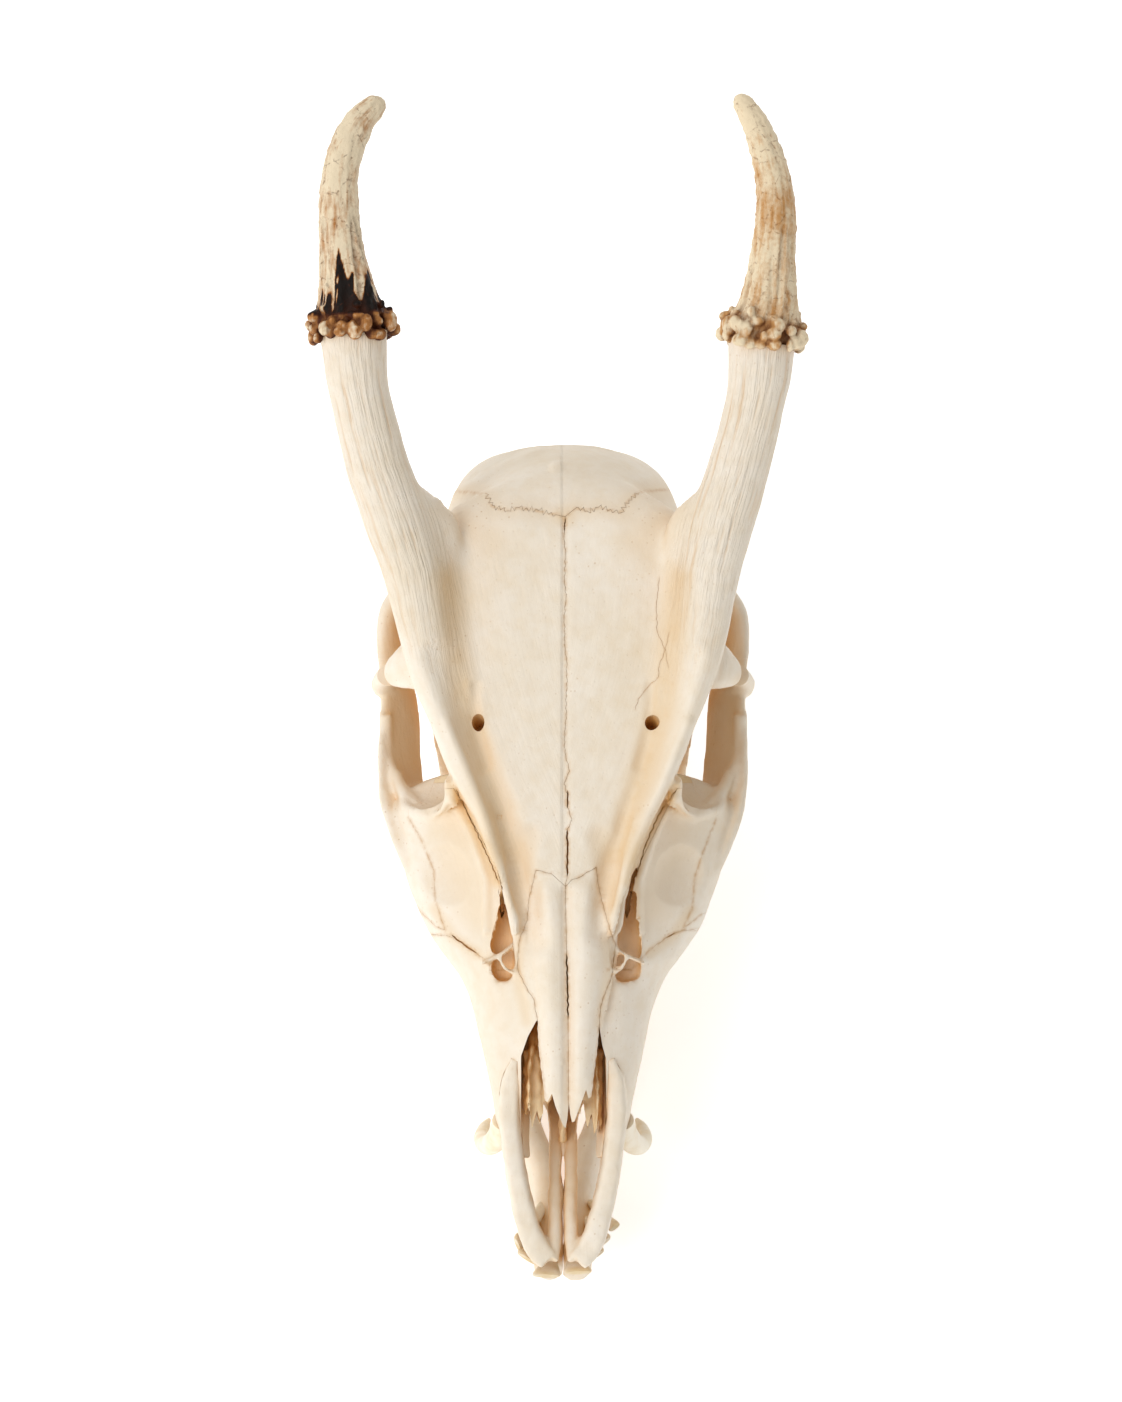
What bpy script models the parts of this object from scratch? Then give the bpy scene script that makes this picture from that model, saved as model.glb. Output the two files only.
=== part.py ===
# Skull of a muntjac buck with lower jaw, tusks and antlers, lying on its lower jaw, life size.
#
# The face frame follows the flat of the forehead: x to the animal's left, s along the midline
# from the tip of the upper jaw back towards the antlers, n square to the forehead and up.
# Sizes are in millimetres until place() or rest() turns them into metres.

import math
import random

import bmesh
import bpy
from mathutils import Vector

# Driving sizes
MM = 0.001
FACE_SLOPE = math.radians(25)
FACE_BASE = 37.0
BACK_SHIFT = 107.9
SIDE_SHIFT = -0.8
GAP = 0.3
HALF_GAP = GAP / 2
COARSE_VOXEL = 1.3
FINE_VOXEL = 1.0
TOUCH = 0.004
EASE = 0.05
ANTLER_VOXEL = 0.65
CRANIUM_TRIANGLES = 4200
JAW_TRIANGLES = 460
ANTLER_TRIANGLES = 480

# Named places along the midline and down the face
PEDICEL_CUT_S = 157.3
ORBIT_CENTRE = (105.0, -14.5)
ORBIT_RADIUS = 14.0
FACE_BACK_S = 96.0
FRONTAL_DEPTH = -9.0

# Burr and antler, from the photograph: each side is a little different
BURR_PEARLS = 15
ANTLER_PATHS = {
    "l": [
        (40.9, 189.5, 9.2, 6.6),
        (41.2, 192.5, 9.4, 5.9),
        (41.7, 199.5, 9.4, 4.9),
        (42.2, 207.5, 9.0, 4.3),
        (42.0, 215.0, 8.0, 3.7),
        (40.8, 221.5, 6.6, 3.3),
        (38.5, 228.2, 4.6, 2.7),
        (36.2, 232.6, 3.0, 1.9),
        (35.0, 234.5, 2.2, 0.9),
    ],
    "r": [
        (-42.0, 190.5, 9.2, 6.6),
        (-42.5, 194.5, 9.4, 5.9),
        (-43.5, 202.0, 9.4, 4.8),
        (-44.3, 210.0, 9.0, 4.2),
        (-44.3, 217.0, 8.2, 3.8),
        (-43.0, 223.5, 7.0, 3.6),
        (-40.6, 228.8, 5.4, 3.2),
        (-37.9, 232.0, 4.0, 2.3),
        (-35.8, 233.6, 3.0, 1.1),
    ],
}
BURR_CENTRES = {"l": (39.5, 185.2, 9.0), "r": (-41.7, 187.2, 9.0)}

# Cheek teeth: length along the row, outer half width, and how many lobes
UPPER_TEETH = [(7.4, 3.6, 1), (7.4, 4.0, 1), (6.8, 4.4, 1), (9.0, 4.9, 2), (10.0, 5.2, 2), (9.4, 4.9, 2)]
LOWER_TEETH = [(6.4, 2.2, 1), (7.4, 2.6, 1), (8.0, 3.0, 1), (9.0, 3.3, 2), (10.0, 3.4, 2), (13.0, 3.3, 3)]
UPPER_ROW_START = (51.5, 12.2)
UPPER_ROW_END = (101.5, 16.6)
LOWER_ROW_START = (50.5, 10.4)
LOWER_ROW_END = (104.3, 17.0)
BITE_HEIGHT = 23.0
LOWER_GUM = 12.5
UPPER_GUM = 32.5

BONE = (0.86, 0.77, 0.62, 1.0)
BONE_SHADE = (0.74, 0.60, 0.42, 1.0)
ANTLER = (0.42, 0.28, 0.16, 1.0)
IVORY = (0.88, 0.78, 0.62, 1.0)


def place(x, s, n):
    """A point of the face frame as metres in the room."""
    y = s * math.cos(FACE_SLOPE) - n * math.sin(FACE_SLOPE)
    z = FACE_BASE + s * math.sin(FACE_SLOPE) + n * math.cos(FACE_SLOPE)
    return Vector((x - SIDE_SHIFT, y - BACK_SHIFT, z)) * MM


def rest(x, y, z):
    """A point measured level with the floor as metres in the room, y back from the upper jaw's tip."""
    return Vector((x - SIDE_SHIFT, y - BACK_SHIFT, z)) * MM


def clear_scene():
    for obj in list(bpy.data.objects):
        bpy.data.objects.remove(obj, do_unlink=True)


def to_object(name, bm):
    bmesh.ops.recalc_face_normals(bm, faces=bm.faces)
    mesh = bpy.data.meshes.new(name)
    bm.to_mesh(mesh)
    bm.free()
    obj = bpy.data.objects.new(name, mesh)
    bpy.context.scene.collection.objects.link(obj)
    return obj


def bridge_rings(bm, rings):
    """Joins rings of equal count, and closes both ends."""
    count = len(rings[0])
    for near, far in zip(rings, rings[1:]):
        for i in range(count):
            j = (i + 1) % count
            bm.faces.new((near[i], near[j], far[j], far[i]))
    bm.faces.new(rings[0])
    bm.faces.new(rings[-1])


def signed_power(value, power):
    return math.copysign(abs(value) ** power, value)


def mass(name, stations, square=0.75, sides=24, grow=0.0):
    """A loft along s. Each station is s, top n, bottom n, and half widths at the top, middle and bottom."""
    bm = bmesh.new()
    rings = []
    last = len(stations) - 1
    for order, station in enumerate(stations):
        turn = math.copysign(1, stations[-1][0] - stations[0][0])
        s = station[0] + grow * ((order == last) - (order == 0)) * turn
        top, bottom = station[1] + grow, station[2] - grow
        wide_top, wide_mid, wide_bottom = (width + grow for width in station[3:])
        ring = []
        for i in range(sides):
            angle = 2 * math.pi * i / sides
            level = signed_power(math.sin(angle), square)
            across = signed_power(math.cos(angle), square)
            side = wide_top if level > 0 else wide_bottom
            width = wide_mid + (side - wide_mid) * abs(level) ** 1.5
            n = (top + bottom) / 2 + level * (top - bottom) / 2
            ring.append(bm.verts.new(place(across * width, s, n)))
        rings.append(ring)
    bridge_rings(bm, rings)
    return to_object(name, bm)


def sweep(name, stations, up=(0, 0, 1), where=place, sides=12, grow=0.0):
    """A tube through stations of a point, then half sizes across and along up."""
    points = [where(*station[:3]) for station in stations]
    up = (where(*up) - where(0, 0, 0)).normalized()
    bm = bmesh.new()
    rings = []
    for i, station in enumerate(stations):
        across_size = station[3] + grow
        up_size = (station[4] if len(station) > 4 else station[3]) + grow
        ahead = (points[min(i + 1, len(points) - 1)] - points[max(i - 1, 0)]).normalized()
        across = ahead.cross(up).normalized()
        lift = across.cross(ahead).normalized()
        centre = points[i]
        if i == 0:
            centre = centre - ahead * grow * MM
        if i == len(points) - 1:
            centre = centre + ahead * grow * MM
        ring = []
        for k in range(sides):
            angle = 2 * math.pi * k / sides
            offset = across * math.cos(angle) * across_size + lift * math.sin(angle) * up_size
            ring.append(bm.verts.new(centre + offset * MM))
        rings.append(ring)
    bridge_rings(bm, rings)
    return to_object(name, bm)


def ball(name, centre, radii, detail=3, grow=0.0):
    """An ellipsoid: centre in metres, half sizes in mm along the room's axes."""
    bm = bmesh.new()
    bmesh.ops.create_icosphere(bm, subdivisions=detail, radius=1.0)
    for vert in bm.verts:
        vert.co = centre + Vector(c * (r + grow) * MM for c, r in zip(vert.co, radii))
    return to_object(name, bm)


def face_ball(name, centre, radii, detail=3):
    """An ellipsoid whose half sizes run along the face frame's axes."""
    bm = bmesh.new()
    bmesh.ops.create_icosphere(bm, subdivisions=detail, radius=1.0)
    for vert in bm.verts:
        vert.co = place(*(c + v * r for c, v, r in zip(centre, vert.co, radii)))
    return to_object(name, bm)


def grown_outline(outline, grow):
    """The outline with each corner moved out by grow, mitred."""
    area = sum(a[0] * b[1] - b[0] * a[1] for a, b in zip(outline, outline[1:] + outline[:1]))
    turn = 1 if area > 0 else -1
    result = []
    for before, here, after in zip(outline[-1:] + outline[:-1], outline, outline[1:] + outline[:1]):
        into = Vector((here[0] - before[0], here[1] - before[1])).normalized()
        out_of = Vector((after[0] - here[0], after[1] - here[1])).normalized()
        normal_in = Vector((into.y, -into.x)) * turn
        normal_out = Vector((out_of.y, -out_of.x)) * turn
        mitre = (normal_in + normal_out).normalized()
        reach = grow / max(mitre.dot(normal_in), 0.35)
        result.append((here[0] + mitre.x * reach, here[1] + mitre.y * reach))
    return result


def prism(outline, low, high, point, grow=0.0):
    """A closed block: the outline drawn in two axes and drawn out along the third, as point() maps them."""
    bm = bmesh.new()
    outline = grown_outline(outline, grow) if grow else outline
    rings = [[bm.verts.new(point(u, v, w)) for u, v in outline] for w in (low - grow, high + grow)]
    bridge_rings(bm, rings)
    bmesh.ops.triangulate(bm, faces=[f for f in bm.faces if len(f.verts) > 4])
    return to_object("block", bm)


def from_above(side):
    """Outline in x and s, depth along n, on one side of the head."""
    return lambda u, v, w: place(side * u, v, w)


def from_side_of_face(side):
    """Outline in s and n, depth along x."""
    return lambda u, v, w: place(side * w, u, v)


def from_side(side):
    """Outline in level y and z, depth along x."""
    return lambda u, v, w: rest(side * w, u, v)


def apply_modifiers(obj):
    graph = bpy.context.evaluated_depsgraph_get()
    mesh = bpy.data.meshes.new_from_object(obj.evaluated_get(graph))
    obj.modifiers.clear()
    obj.data = mesh


def remove(*objects):
    for obj in objects:
        bpy.data.objects.remove(obj, do_unlink=True)


def join_shells(name, objects):
    """All the objects' faces in one mesh, still overlapping."""
    bm = bmesh.new()
    for obj in objects:
        bm.from_mesh(obj.data)
    mesh = bpy.data.meshes.new(name)
    bm.to_mesh(mesh)
    bm.free()
    remove(*objects)
    obj = bpy.data.objects.new(name, mesh)
    bpy.context.scene.collection.objects.link(obj)
    return obj


def fuse(obj, voxel, smooth):
    """Turns overlapping shells into one smooth closed skin."""
    remesh = obj.modifiers.new("fuse", "REMESH")
    remesh.mode = "VOXEL"
    remesh.voxel_size = voxel * MM
    relax = obj.modifiers.new("relax", "SMOOTH")
    relax.factor = 0.5
    relax.iterations = smooth
    apply_modifiers(obj)
    return obj


def thin_out(obj, triangles):
    split = obj.modifiers.new("split", "TRIANGULATE")
    split.show_render = True
    apply_modifiers(obj)
    decimate = obj.modifiers.new("fewer", "DECIMATE")
    decimate.ratio = min(1.0, triangles / len(obj.data.polygons))
    apply_modifiers(obj)


def boolean(obj, other, operation, solver="MANIFOLD", keep=False):
    modifier = obj.modifiers.new("cut", "BOOLEAN")
    modifier.operation = operation
    modifier.solver = solver
    modifier.object = other
    apply_modifiers(obj)
    if not keep:
        remove(other)
    return obj


def union_all(obj, others):
    """One union of a body with closed pieces that are rooted in it."""
    group = bpy.data.collections.new("pieces")
    for other in others:
        group.objects.link(other)
    modifier = obj.modifiers.new("unite", "BOOLEAN")
    modifier.operation = "UNION"
    modifier.operand_type = "COLLECTION"
    modifier.collection = group
    modifier.solver = "MANIFOLD"
    apply_modifiers(obj)
    remove(*others)
    bpy.data.collections.remove(group)
    return obj


def keep_largest(obj):
    """Drops every loose scrap, so that one closed surface is left."""
    bm = bmesh.new()
    bm.from_mesh(obj.data)
    left = set(bm.verts)
    groups = []
    while left:
        seed = left.pop()
        group = {seed}
        edge_of_group = [seed]
        while edge_of_group:
            vert = edge_of_group.pop()
            for edge in vert.link_edges:
                other = edge.other_vert(vert)
                if other in left:
                    left.discard(other)
                    group.add(other)
                    edge_of_group.append(other)
        groups.append(group)
    groups.sort(key=len)
    for group in groups[:-1]:
        bmesh.ops.delete(bm, geom=list(group), context="VERTS")
    bmesh.ops.triangulate(bm, faces=bm.faces)
    bm.to_mesh(obj.data)
    bm.free()


def part_touching(obj):
    """Where two folds of one surface just touch, eases each of their points back into its own fold."""
    bm = bmesh.new()
    bm.from_mesh(obj.data)
    bmesh.ops.dissolve_degenerate(bm, edges=bm.edges, dist=TOUCH * MM / 2)
    bmesh.ops.triangulate(bm, faces=bm.faces)
    spots = {}
    for vert in bm.verts:
        spots.setdefault(tuple(round(c / (TOUCH * MM)) for c in vert.co), []).append(vert)
    for verts in spots.values():
        if len(verts) < 2:
            continue
        moves = []
        for vert in verts:
            around = [edge.other_vert(vert).co for edge in vert.link_edges]
            middle = sum(around, Vector()) / len(around)
            moves.append((middle - vert.co).normalized() * EASE * MM)
        for vert, move in zip(verts, moves):
            vert.co += move
    bm.to_mesh(obj.data)
    bm.free()


def copy_of(obj, name):
    twin = bpy.data.objects.new(name, obj.data.copy())
    bpy.context.scene.collection.objects.link(twin)
    return twin


def take(whole, name, outline, low, high, point):
    """Parts a bone from the whole: what lies in the block is the bone, with a thin gap left round it."""
    bone = copy_of(whole, name)
    boolean(bone, prism(outline, low, high, point), "INTERSECT")
    boolean(whole, prism(outline, low, high, point, grow=GAP), "DIFFERENCE")
    keep_largest(bone)
    return bone


def finish(obj, name, colour, roughness=0.6):
    """Names a node, and gives it its material and smooth shading."""
    obj.name = name
    keep_largest(obj)
    part_touching(obj)
    material = bpy.data.materials.new(name)
    material.use_nodes = True
    shader = material.node_tree.nodes["Principled BSDF"]
    shader.inputs["Base Color"].default_value = colour
    shader.inputs["Roughness"].default_value = roughness
    shader.inputs["Metallic"].default_value = 0.0
    obj.data.materials.clear()
    obj.data.materials.append(material)
    obj.data.shade_smooth()
    obj.data.set_sharp_from_angle(angle=math.radians(40))


# Sides of the head: l is the animal's left, at +X
SIDES = (("l", 1), ("r", -1))


def mirrored(stations, side):
    return [(side * station[0],) + tuple(station[1:]) for station in stations]


# Upper skull: solid masses, then hollows, then bars and plates

def solid_masses():
    """Snout, forehead and braincase, each one loft along the face."""
    snout = mass("snout", [
        (22, -12, -22.5, 9.5, 11.2, 11.0),
        (28, -7.5, -24.5, 9.5, 13.2, 12.6),
        (36, -4.0, -28.0, 10.5, 14.6, 13.0),
        (44, -1.5, -31.5, 9.5, 16.4, 13.0),
        (52, -0.8, -35.0, 9.5, 18.4, 14.5),
        (58, -0.5, -37.5, 10.0, 20.6, 17.0),
        (64, -0.5, -40.0, 11.0, 25.2, 19.0),
        (70, -0.5, -43.0, 12.0, 28.8, 20.5),
        (78, -0.5, -46.5, 13.5, 31.8, 21.3),
        (86, -0.5, -50.0, 15.0, 33.8, 21.8),
        (93, -1.0, -52.5, 17.0, 35.0, 21.5),
        (98, -2.0, -53.5, 16.0, 28.0, 19.0),
        (101, -4.0, -52.0, 12.0, 15.0, 13.0),
    ])
    forehead = mass("forehead", [
        (66, -1.0, -8.0, 8.5, 9.0, 8.0),
        (76, -0.2, -9.0, 11.0, 11.8, 10.0),
        (86, 0.0, -9.0, 14.5, 15.6, 13.0),
        (96, 0.0, -9.0, 20.0, 21.6, 17.0),
        (103, 0.0, -9.0, 23.0, 24.6, 19.0),
        (110, 0.0, -9.0, 25.5, 27.2, 21.0),
        (116, 0.0, -9.0, 27.5, 29.6, 23.0),
        (124, 0.0, -10.0, 29.0, 31.4, 25.0),
        (134, -0.2, -11.0, 29.0, 31.8, 25.0),
        (143, -1.2, -12.0, 27.0, 29.6, 24.0),
        (149, -2.6, -13.0, 23.5, 26.0, 22.0),
        (154, -5.4, -14.0, 17.0, 20.5, 18.0),
        (158.5, -9.6, -16.0, 9.0, 12.0, 11.0),
        (161, -13.6, -16.5, 2.0, 3.0, 3.0),
    ], square=0.62)
    braincase = mass("braincase", [
        (98, -2, -43, 12.0, 9.5, 7.0),
        (106, -2, -45, 14.0, 10.0, 7.0),
        (112, -1.5, -47, 18.0, 13.5, 7.5),
        (118, -1, -49, 22.0, 19.5, 9.0),
        (126, -0.5, -52, 24.0, 24.0, 12.0),
        (136, -0.8, -55, 24.0, 25.2, 15.0),
        (146, -2.5, -58, 22.0, 25.0, 17.0),
        (152, -5, -60, 20.5, 24.0, 16.5),
        (157, -9.0, -58, 18.5, 22.0, 15.0),
        (161, -14, -54, 15.0, 19.2, 12.0),
        (164, -20, -48, 10.0, 14.0, 9.0),
        (165.6, -26, -40, 4.5, 7.0, 5.0),
    ], square=0.85)
    return [snout, forehead, braincase]


def skull_base_forms():
    """Condyles, base of the skull, ear bubbles, ear canals, neck spurs and palate wings."""
    forms = [
        sweep("basioccipital", [(0, 118, 44, 6, 5), (0, 132, 46, 6.5, 4.5), (0, 146, 47, 7.5, 4.5),
                                (0, 160, 49, 10, 5)], where=rest),
        sweep("nuchal crest", [(-17, 156, 73.5, 2.4), (-11, 159.2, 79, 2.6), (0, 160.2, 80.5, 2.7),
                               (11, 159.2, 79, 2.6), (17, 156, 73.5, 2.4)], up=(0, 1, 0), where=rest),
    ]
    for _, side in SIDES:
        forms += [
            ball("condyle", rest(side * 8.6, 164.5, 49), (5.2, 6.2, 7.5)),
            ball("ear bubble", rest(side * 13.5, 143, 43), (5.6, 8.5, 7.0)),
            sweep("ear canal", mirrored([(13, 146, 50, 4.2), (20, 147, 54, 3.8),
                                         (25.5, 148, 57, 3.2)], side),
                  up=(0, 1, 0), where=rest),
            sweep("neck spur", mirrored([(15, 156, 56, 4, 5), (17.5, 155, 46, 3, 4), (17.8, 154, 37, 2, 3),
                                         (17, 153.5, 29.5, 1.2, 1.6)], side), up=(0, 1, 0), where=rest),
            sweep("palate wing", mirrored([(9, 96, 33, 1.4, 4), (8.4, 106, 35, 1.4, 5.5),
                                           (8, 116, 38, 1.5, 5.5), (7, 124, 42, 1.6, 3.5)], side),
                  where=rest),
            sweep("mastoid edge", mirrored([(14, 158, 74, 2.2), (21, 154, 66, 2.4),
                                            (21, 152, 57, 2.6)], side),
                  up=(0, 1, 0), where=rest),
        ]
    return forms


def arch_stations(side):
    """Cheek arch from the face to its root on the braincase."""
    return mirrored([
        (26.5, 76, -25, 2.6, 5.0),
        (29.4, 83, -27, 2.4, 7.0),
        (31.6, 90, -29.5, 2.1, 8.2),
        (32.9, 97, -32.0, 1.8, 8.4),
        (33.3, 105, -33.0, 1.6, 8.0),
        (33.3, 112, -32.5, 1.6, 7.0),
        (34.2, 119, -30.5, 1.8, 5.2),
        (35.4, 126, -29.8, 1.8, 3.8),
        (34.9, 132, -29.8, 1.9, 3.5),
        (31.5, 136.6, -31.0, 2.3, 3.5),
        (26.0, 138.6, -33.0, 3.2, 4.2),
        (20.0, 139.6, -35.0, 4.2, 5.0),
    ], side)


# Middles and half sizes of the antler stalks below the burr, on each side
STALK_MIDDLES = {
    "l": [(29.3, 140, 2.2, 6.0, 5.5), (32.0, 151, 3.6, 6.5, 6.0), (34.8, 160, 4.9, 6.2, 6.0),
          (36.9, 168, 6.2, 5.9, 5.9)],
    "r": [(29.9, 140, 2.2, 6.1, 5.5), (33.4, 151, 3.6, 6.6, 6.0), (36.6, 160, 4.9, 6.3, 6.0),
          (38.8, 168, 6.2, 6.1, 5.9)],
}


def ridge_stations(side):
    """Raised edge of the forehead, which grows into the antler's stalk."""
    name = "l" if side > 0 else "r"
    burr = BURR_CENTRES[name]
    stations = mirrored([
        (9.0, 67.5, -1.6, 1.3, 1.3),
        (10.2, 74, -1.0, 1.7, 1.7),
        (12.6, 83, -0.6, 2.0, 2.2),
        (16.2, 93, -0.4, 2.6, 2.8),
        (19.8, 101, -0.2, 3.1, 3.2),
        (23.0, 110, 0.2, 3.6, 3.6),
        (26.0, 120, 0.8, 4.6, 4.4),
        (28.0, 130, 1.4, 5.4, 5.0),
    ] + STALK_MIDDLES[name], side)
    stations += [
        (burr[0] - side * 1.2, burr[1] - 11.0, 7.6, 6.0, 5.9),
        (burr[0] - side * 0.4, burr[1] - 5.0, 8.6, 6.4, 6.3),
        (burr[0] + side * 0.1, burr[1] + 3.0, burr[2] + 0.3, 7.0, 6.9),
    ]
    return stations


def bar_stations(side):
    """Bar behind the eye, from forehead to cheek arch."""
    return mirrored([
        (26.5, 122.5, -2.0, 3.4, 6.0),
        (31.0, 121.0, -5.0, 2.7, 4.8),
        (33.8, 119.8, -10.5, 2.4, 3.0),
        (35.8, 118.8, -18.0, 2.3, 1.9),
        (36.4, 117.4, -25.0, 2.6, 1.8),
        (35.4, 116.0, -31.0, 3.2, 1.8),
    ], side)


def rim_stations(side):
    """Front and lower rim of the eye socket."""
    stations = []
    for degrees in range(118, 300, 20):
        angle = math.radians(degrees)
        s = ORBIT_CENTRE[0] + ORBIT_RADIUS * math.cos(angle)
        n = ORBIT_CENTRE[1] + ORBIT_RADIUS * math.sin(angle)
        x = min(30.3 + 4.5 * math.cos(angle) - 6.6 * math.sin(angle), 35.9)
        stations.append((side * x, s, n, 1.5, 1.5))
    return stations


def nasal_plate():
    """Arched roof of the nose, whose front stands free."""
    return mass("nasal plate", [
        (79, 0.2, -6.0, 5.0, 8.5, 8.0),
        (70, 0.0, -6.0, 6.0, 9.0, 8.5),
        (60, -0.3, -6.0, 6.0, 9.2, 8.8),
        (52, -0.8, -5.5, 5.5, 8.0, 8.0),
        (46, -1.4, -4.6, 4.5, 7.0, 7.0),
        (40, -2.0, -4.6, 4.0, 6.4, 6.4),
        (34, -2.8, -5.0, 3.5, 5.8, 5.8),
        (27, -3.6, -5.3, 2.5, 5.0, 5.0),
    ], square=0.7)


def first_hollows():
    """Eye sockets, the pit before each eye, and the space behind the cheek."""
    cutters = []
    for _, side in SIDES:
        cutters += [
            face_ball("socket", (side * 35.5, ORBIT_CENTRE[0] + 1.0, ORBIT_CENTRE[1] - 1.5),
                      (23.5, 14.0, 12.5)),
            face_ball("tear pit", (side * 34.0, 78.0, 2.0), (17.5, 15.5, 20.0)),
            face_ball("behind the jaw", (side * 30.0, 109.0, -39.0), (15.0, 12.5, 17.0)),
            face_ball("cheek waist", (side * 33.0, 50.0, -27.0), (16.0, 17.0, 16.0)),
        ]
    return cutters


def second_hollows():
    """Nose opening, the gap before each eye, spinal hole, jaw sockets and brow holes."""
    nose = mass("nose opening", [
        (10, 8, -19.0, 8.0, 8.0, 7.0),
        (24, 8, -21.0, 8.4, 8.4, 6.8),
        (33, 4, -24.0, 8.0, 8.4, 6.4),
        (40, -4.0, -25.0, 6.4, 7.8, 6.0),
        (47, -5.5, -25.0, 5.4, 7.0, 5.6),
        (54, -7.5, -24.0, 3.6, 5.2, 4.2),
    ], square=0.7)
    cutters = [
        nose,
        sweep("spinal hole", [(0, 151, 57, 7.6, 7.0), (0, 175, 56, 8.8, 8.2)], where=rest, sides=16),
        mass("mouth roof", [
            (30, -24.8, -40, 8.0, 8.0, 8.0),
            (60, -37.0, -60, 9.0, 9.5, 9.5),
            (92, -50.5, -75, 10.0, 11.0, 11.0),
        ], square=0.6),
    ]
    for _, side in SIDES:
        cutters += [
            sweep("tear gap", mirrored([(11.6, 58.5, -7.5, 1.8, 9), (11.7, 63, -6.0, 2.3, 9),
                                        (11.8, 70, -6.0, 1.3, 9), (12.5, 78, -6.0, 0.6, 8)], side),
                  sides=10),
            ball("jaw hinge", rest(side * CONDYLE[0], CONDYLE[1], CONDYLE[2]), CONDYLE[3:], grow=GAP),
            sweep("brow hole", mirrored([(16.8, 110, 8, 1.3, 1.3), (16.0, 109, -5, 1.1, 1.1)], side),
                  up=(0, 1, 0), sides=8),
        ]
    return cutters


# The lower jaw's hinge knob: centre and half sizes, level with the floor
CONDYLE = (24.5, 135.5, 60.5, 5.2, 3.0, 3.2)


def tusk_stations(side):
    return mirrored([
        (12.0, 29.5, -16.5, 2.3),
        (12.7, 26.6, -21.0, 2.5),
        (14.1, 24.4, -26.0, 2.4),
        (15.5, 24.0, -31.0, 2.2),
        (16.2, 25.0, -35.8, 1.9),
        (15.9, 26.6, -40.2, 1.3),
        (15.2, 28.2, -43.6, 0.5),
    ], side)


def premaxilla_bar(side, grow=0.0):
    """Outer bar of the upper jaw's tip, rising along the nose opening."""
    return sweep("bar", mirrored([
        (9.4, 42.5, -6.4, 0.9, 1.2),
        (10.4, 38, -8.8, 1.9, 3.2),
        (10.8, 32, -11.5, 2.1, 5.4),
        (10.3, 26, -14.0, 2.1, 6.6),
        (9.6, 20, -14.8, 2.1, 6.2),
        (8.4, 14, -14.4, 2.2, 4.8),
        (6.9, 8, -13.4, 2.3, 3.2),
        (5.0, 3.8, -12.8, 2.5, 2.0),
        (2.9, 1.6, -12.4, 2.2, 1.4),
    ], side), grow=grow)


def premaxilla_strip(side, grow=0.0):
    """Inner strip of the upper jaw's tip, in the roof of the mouth."""
    return sweep("strip", mirrored([
        (1.5, 29, -23.4, 1.3, 0.9),
        (1.6, 20, -20.0, 1.35, 1.1),
        (1.65, 11, -16.4, 1.4, 1.3),
        (1.8, 5, -13.9, 1.5, 1.4),
        (2.6, 1.8, -12.5, 1.8, 1.3),
    ], side), grow=grow)


def build_cranium():
    whole = fuse(join_shells("cranium", solid_masses() + skull_base_forms()), COARSE_VOXEL, 4)
    for cutter in first_hollows():
        boolean(whole, cutter, "DIFFERENCE")
    for cutter in second_hollows():
        boolean(whole, cutter, "DIFFERENCE")
    additions = [whole, nasal_plate()]
    for _, side in SIDES:
        additions += [
            sweep("arch", arch_stations(side), up=(side * 0.5, 0, 0.86)),
            sweep("ridge", ridge_stations(side), sides=16),
            sweep("eye bar", bar_stations(side), up=(0, 1, 0)),
            sweep("eye rim", rim_stations(side), up=(1, 0, 0), sides=8),
            sweep("stalk web", mirrored([(19.5, 132, -2.4, 4.6, 3.0), (23.0, 141, -2.0, 5.2, 3.2),
                                         (25.8, 147, -1.2, 5.4, 3.4), (28.4, 151.4, 0.6, 4.8, 3.4),
                                         (32.0, 156, 2.8, 3.0, 3.0)], side), sides=12),
        ]
    whole = fuse(join_shells("cranium", additions), FINE_VOXEL, 3)
    keep_largest(whole)
    thin_out(whole, CRANIUM_TRIANGLES)
    cutters = nose_bones(grow=GAP)
    for _, side in SIDES:
        hinge = rest(side * CONDYLE[0], CONDYLE[1], CONDYLE[2])
        cutters += [
            premaxilla_bar(side, grow=GAP),
            premaxilla_strip(side, grow=GAP),
            sweep("socket", tusk_stations(side), grow=GAP),
            ball("hinge", hinge, CONDYLE[3:], detail=2, grow=2 * GAP),
        ]
    for cutter in cutters:
        boolean(whole, cutter, "DIFFERENCE")
    return whole


# Parting lines, drawn from above on one side as x and s unless said
NASAL_LINE = [(1.8, 78.2), (6.5, 76.6), (7.2, 73), (8.6, 66.2), (9.2, 64), (9.1, 60), (8.2, 55),
              (6.6, 50.5), (6.1, 45), (5.4, 37.5), (4.5, 34.2), (3.5, 35.0), (1.6, 28.8)]
FRONTAL_LINE = [(9.4, 60), (10.7, 69.6), (12.3, 77), (13.3, 81), (21.8, 96.6),
                (60, 96.6), (60, 180), (28, 180), (24.6, 157.2), (20.8, 156.4), (15.6, 155.4), (13.6, 152.8),
                (8, 151.4)]
JUGAL_LINE = [(31.2, 90.4), (28.4, 85.8), (26, 79.8), (25.8, 74.2), (23.8, 68), (27, 69.5), (31, 73),
              (50, 75), (50, 122.5), (26, 122.5), (26, 98), (28.6, 93.6)]
LACRIMAL_LINE = [(40, 66.6), (21.6, 66.6), (17.4, 63.6), (13.4, 59.8), (9, 60), (9, 97.4), (40, 97.4)]
PARIETAL_LINE = [(121, 10), (121, -23), (140, -27), (157, -29), (163, -27.5), (172, -26), (172, 10)]


def to_midline(outline, side):
    """Closes an outline at the midline: the first side stops short of it, the second runs past that cut."""
    inner = HALF_GAP if side > 0 else -2.0
    return outline + [(inner, outline[-1][1]), (inner, outline[0][1])]


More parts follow.
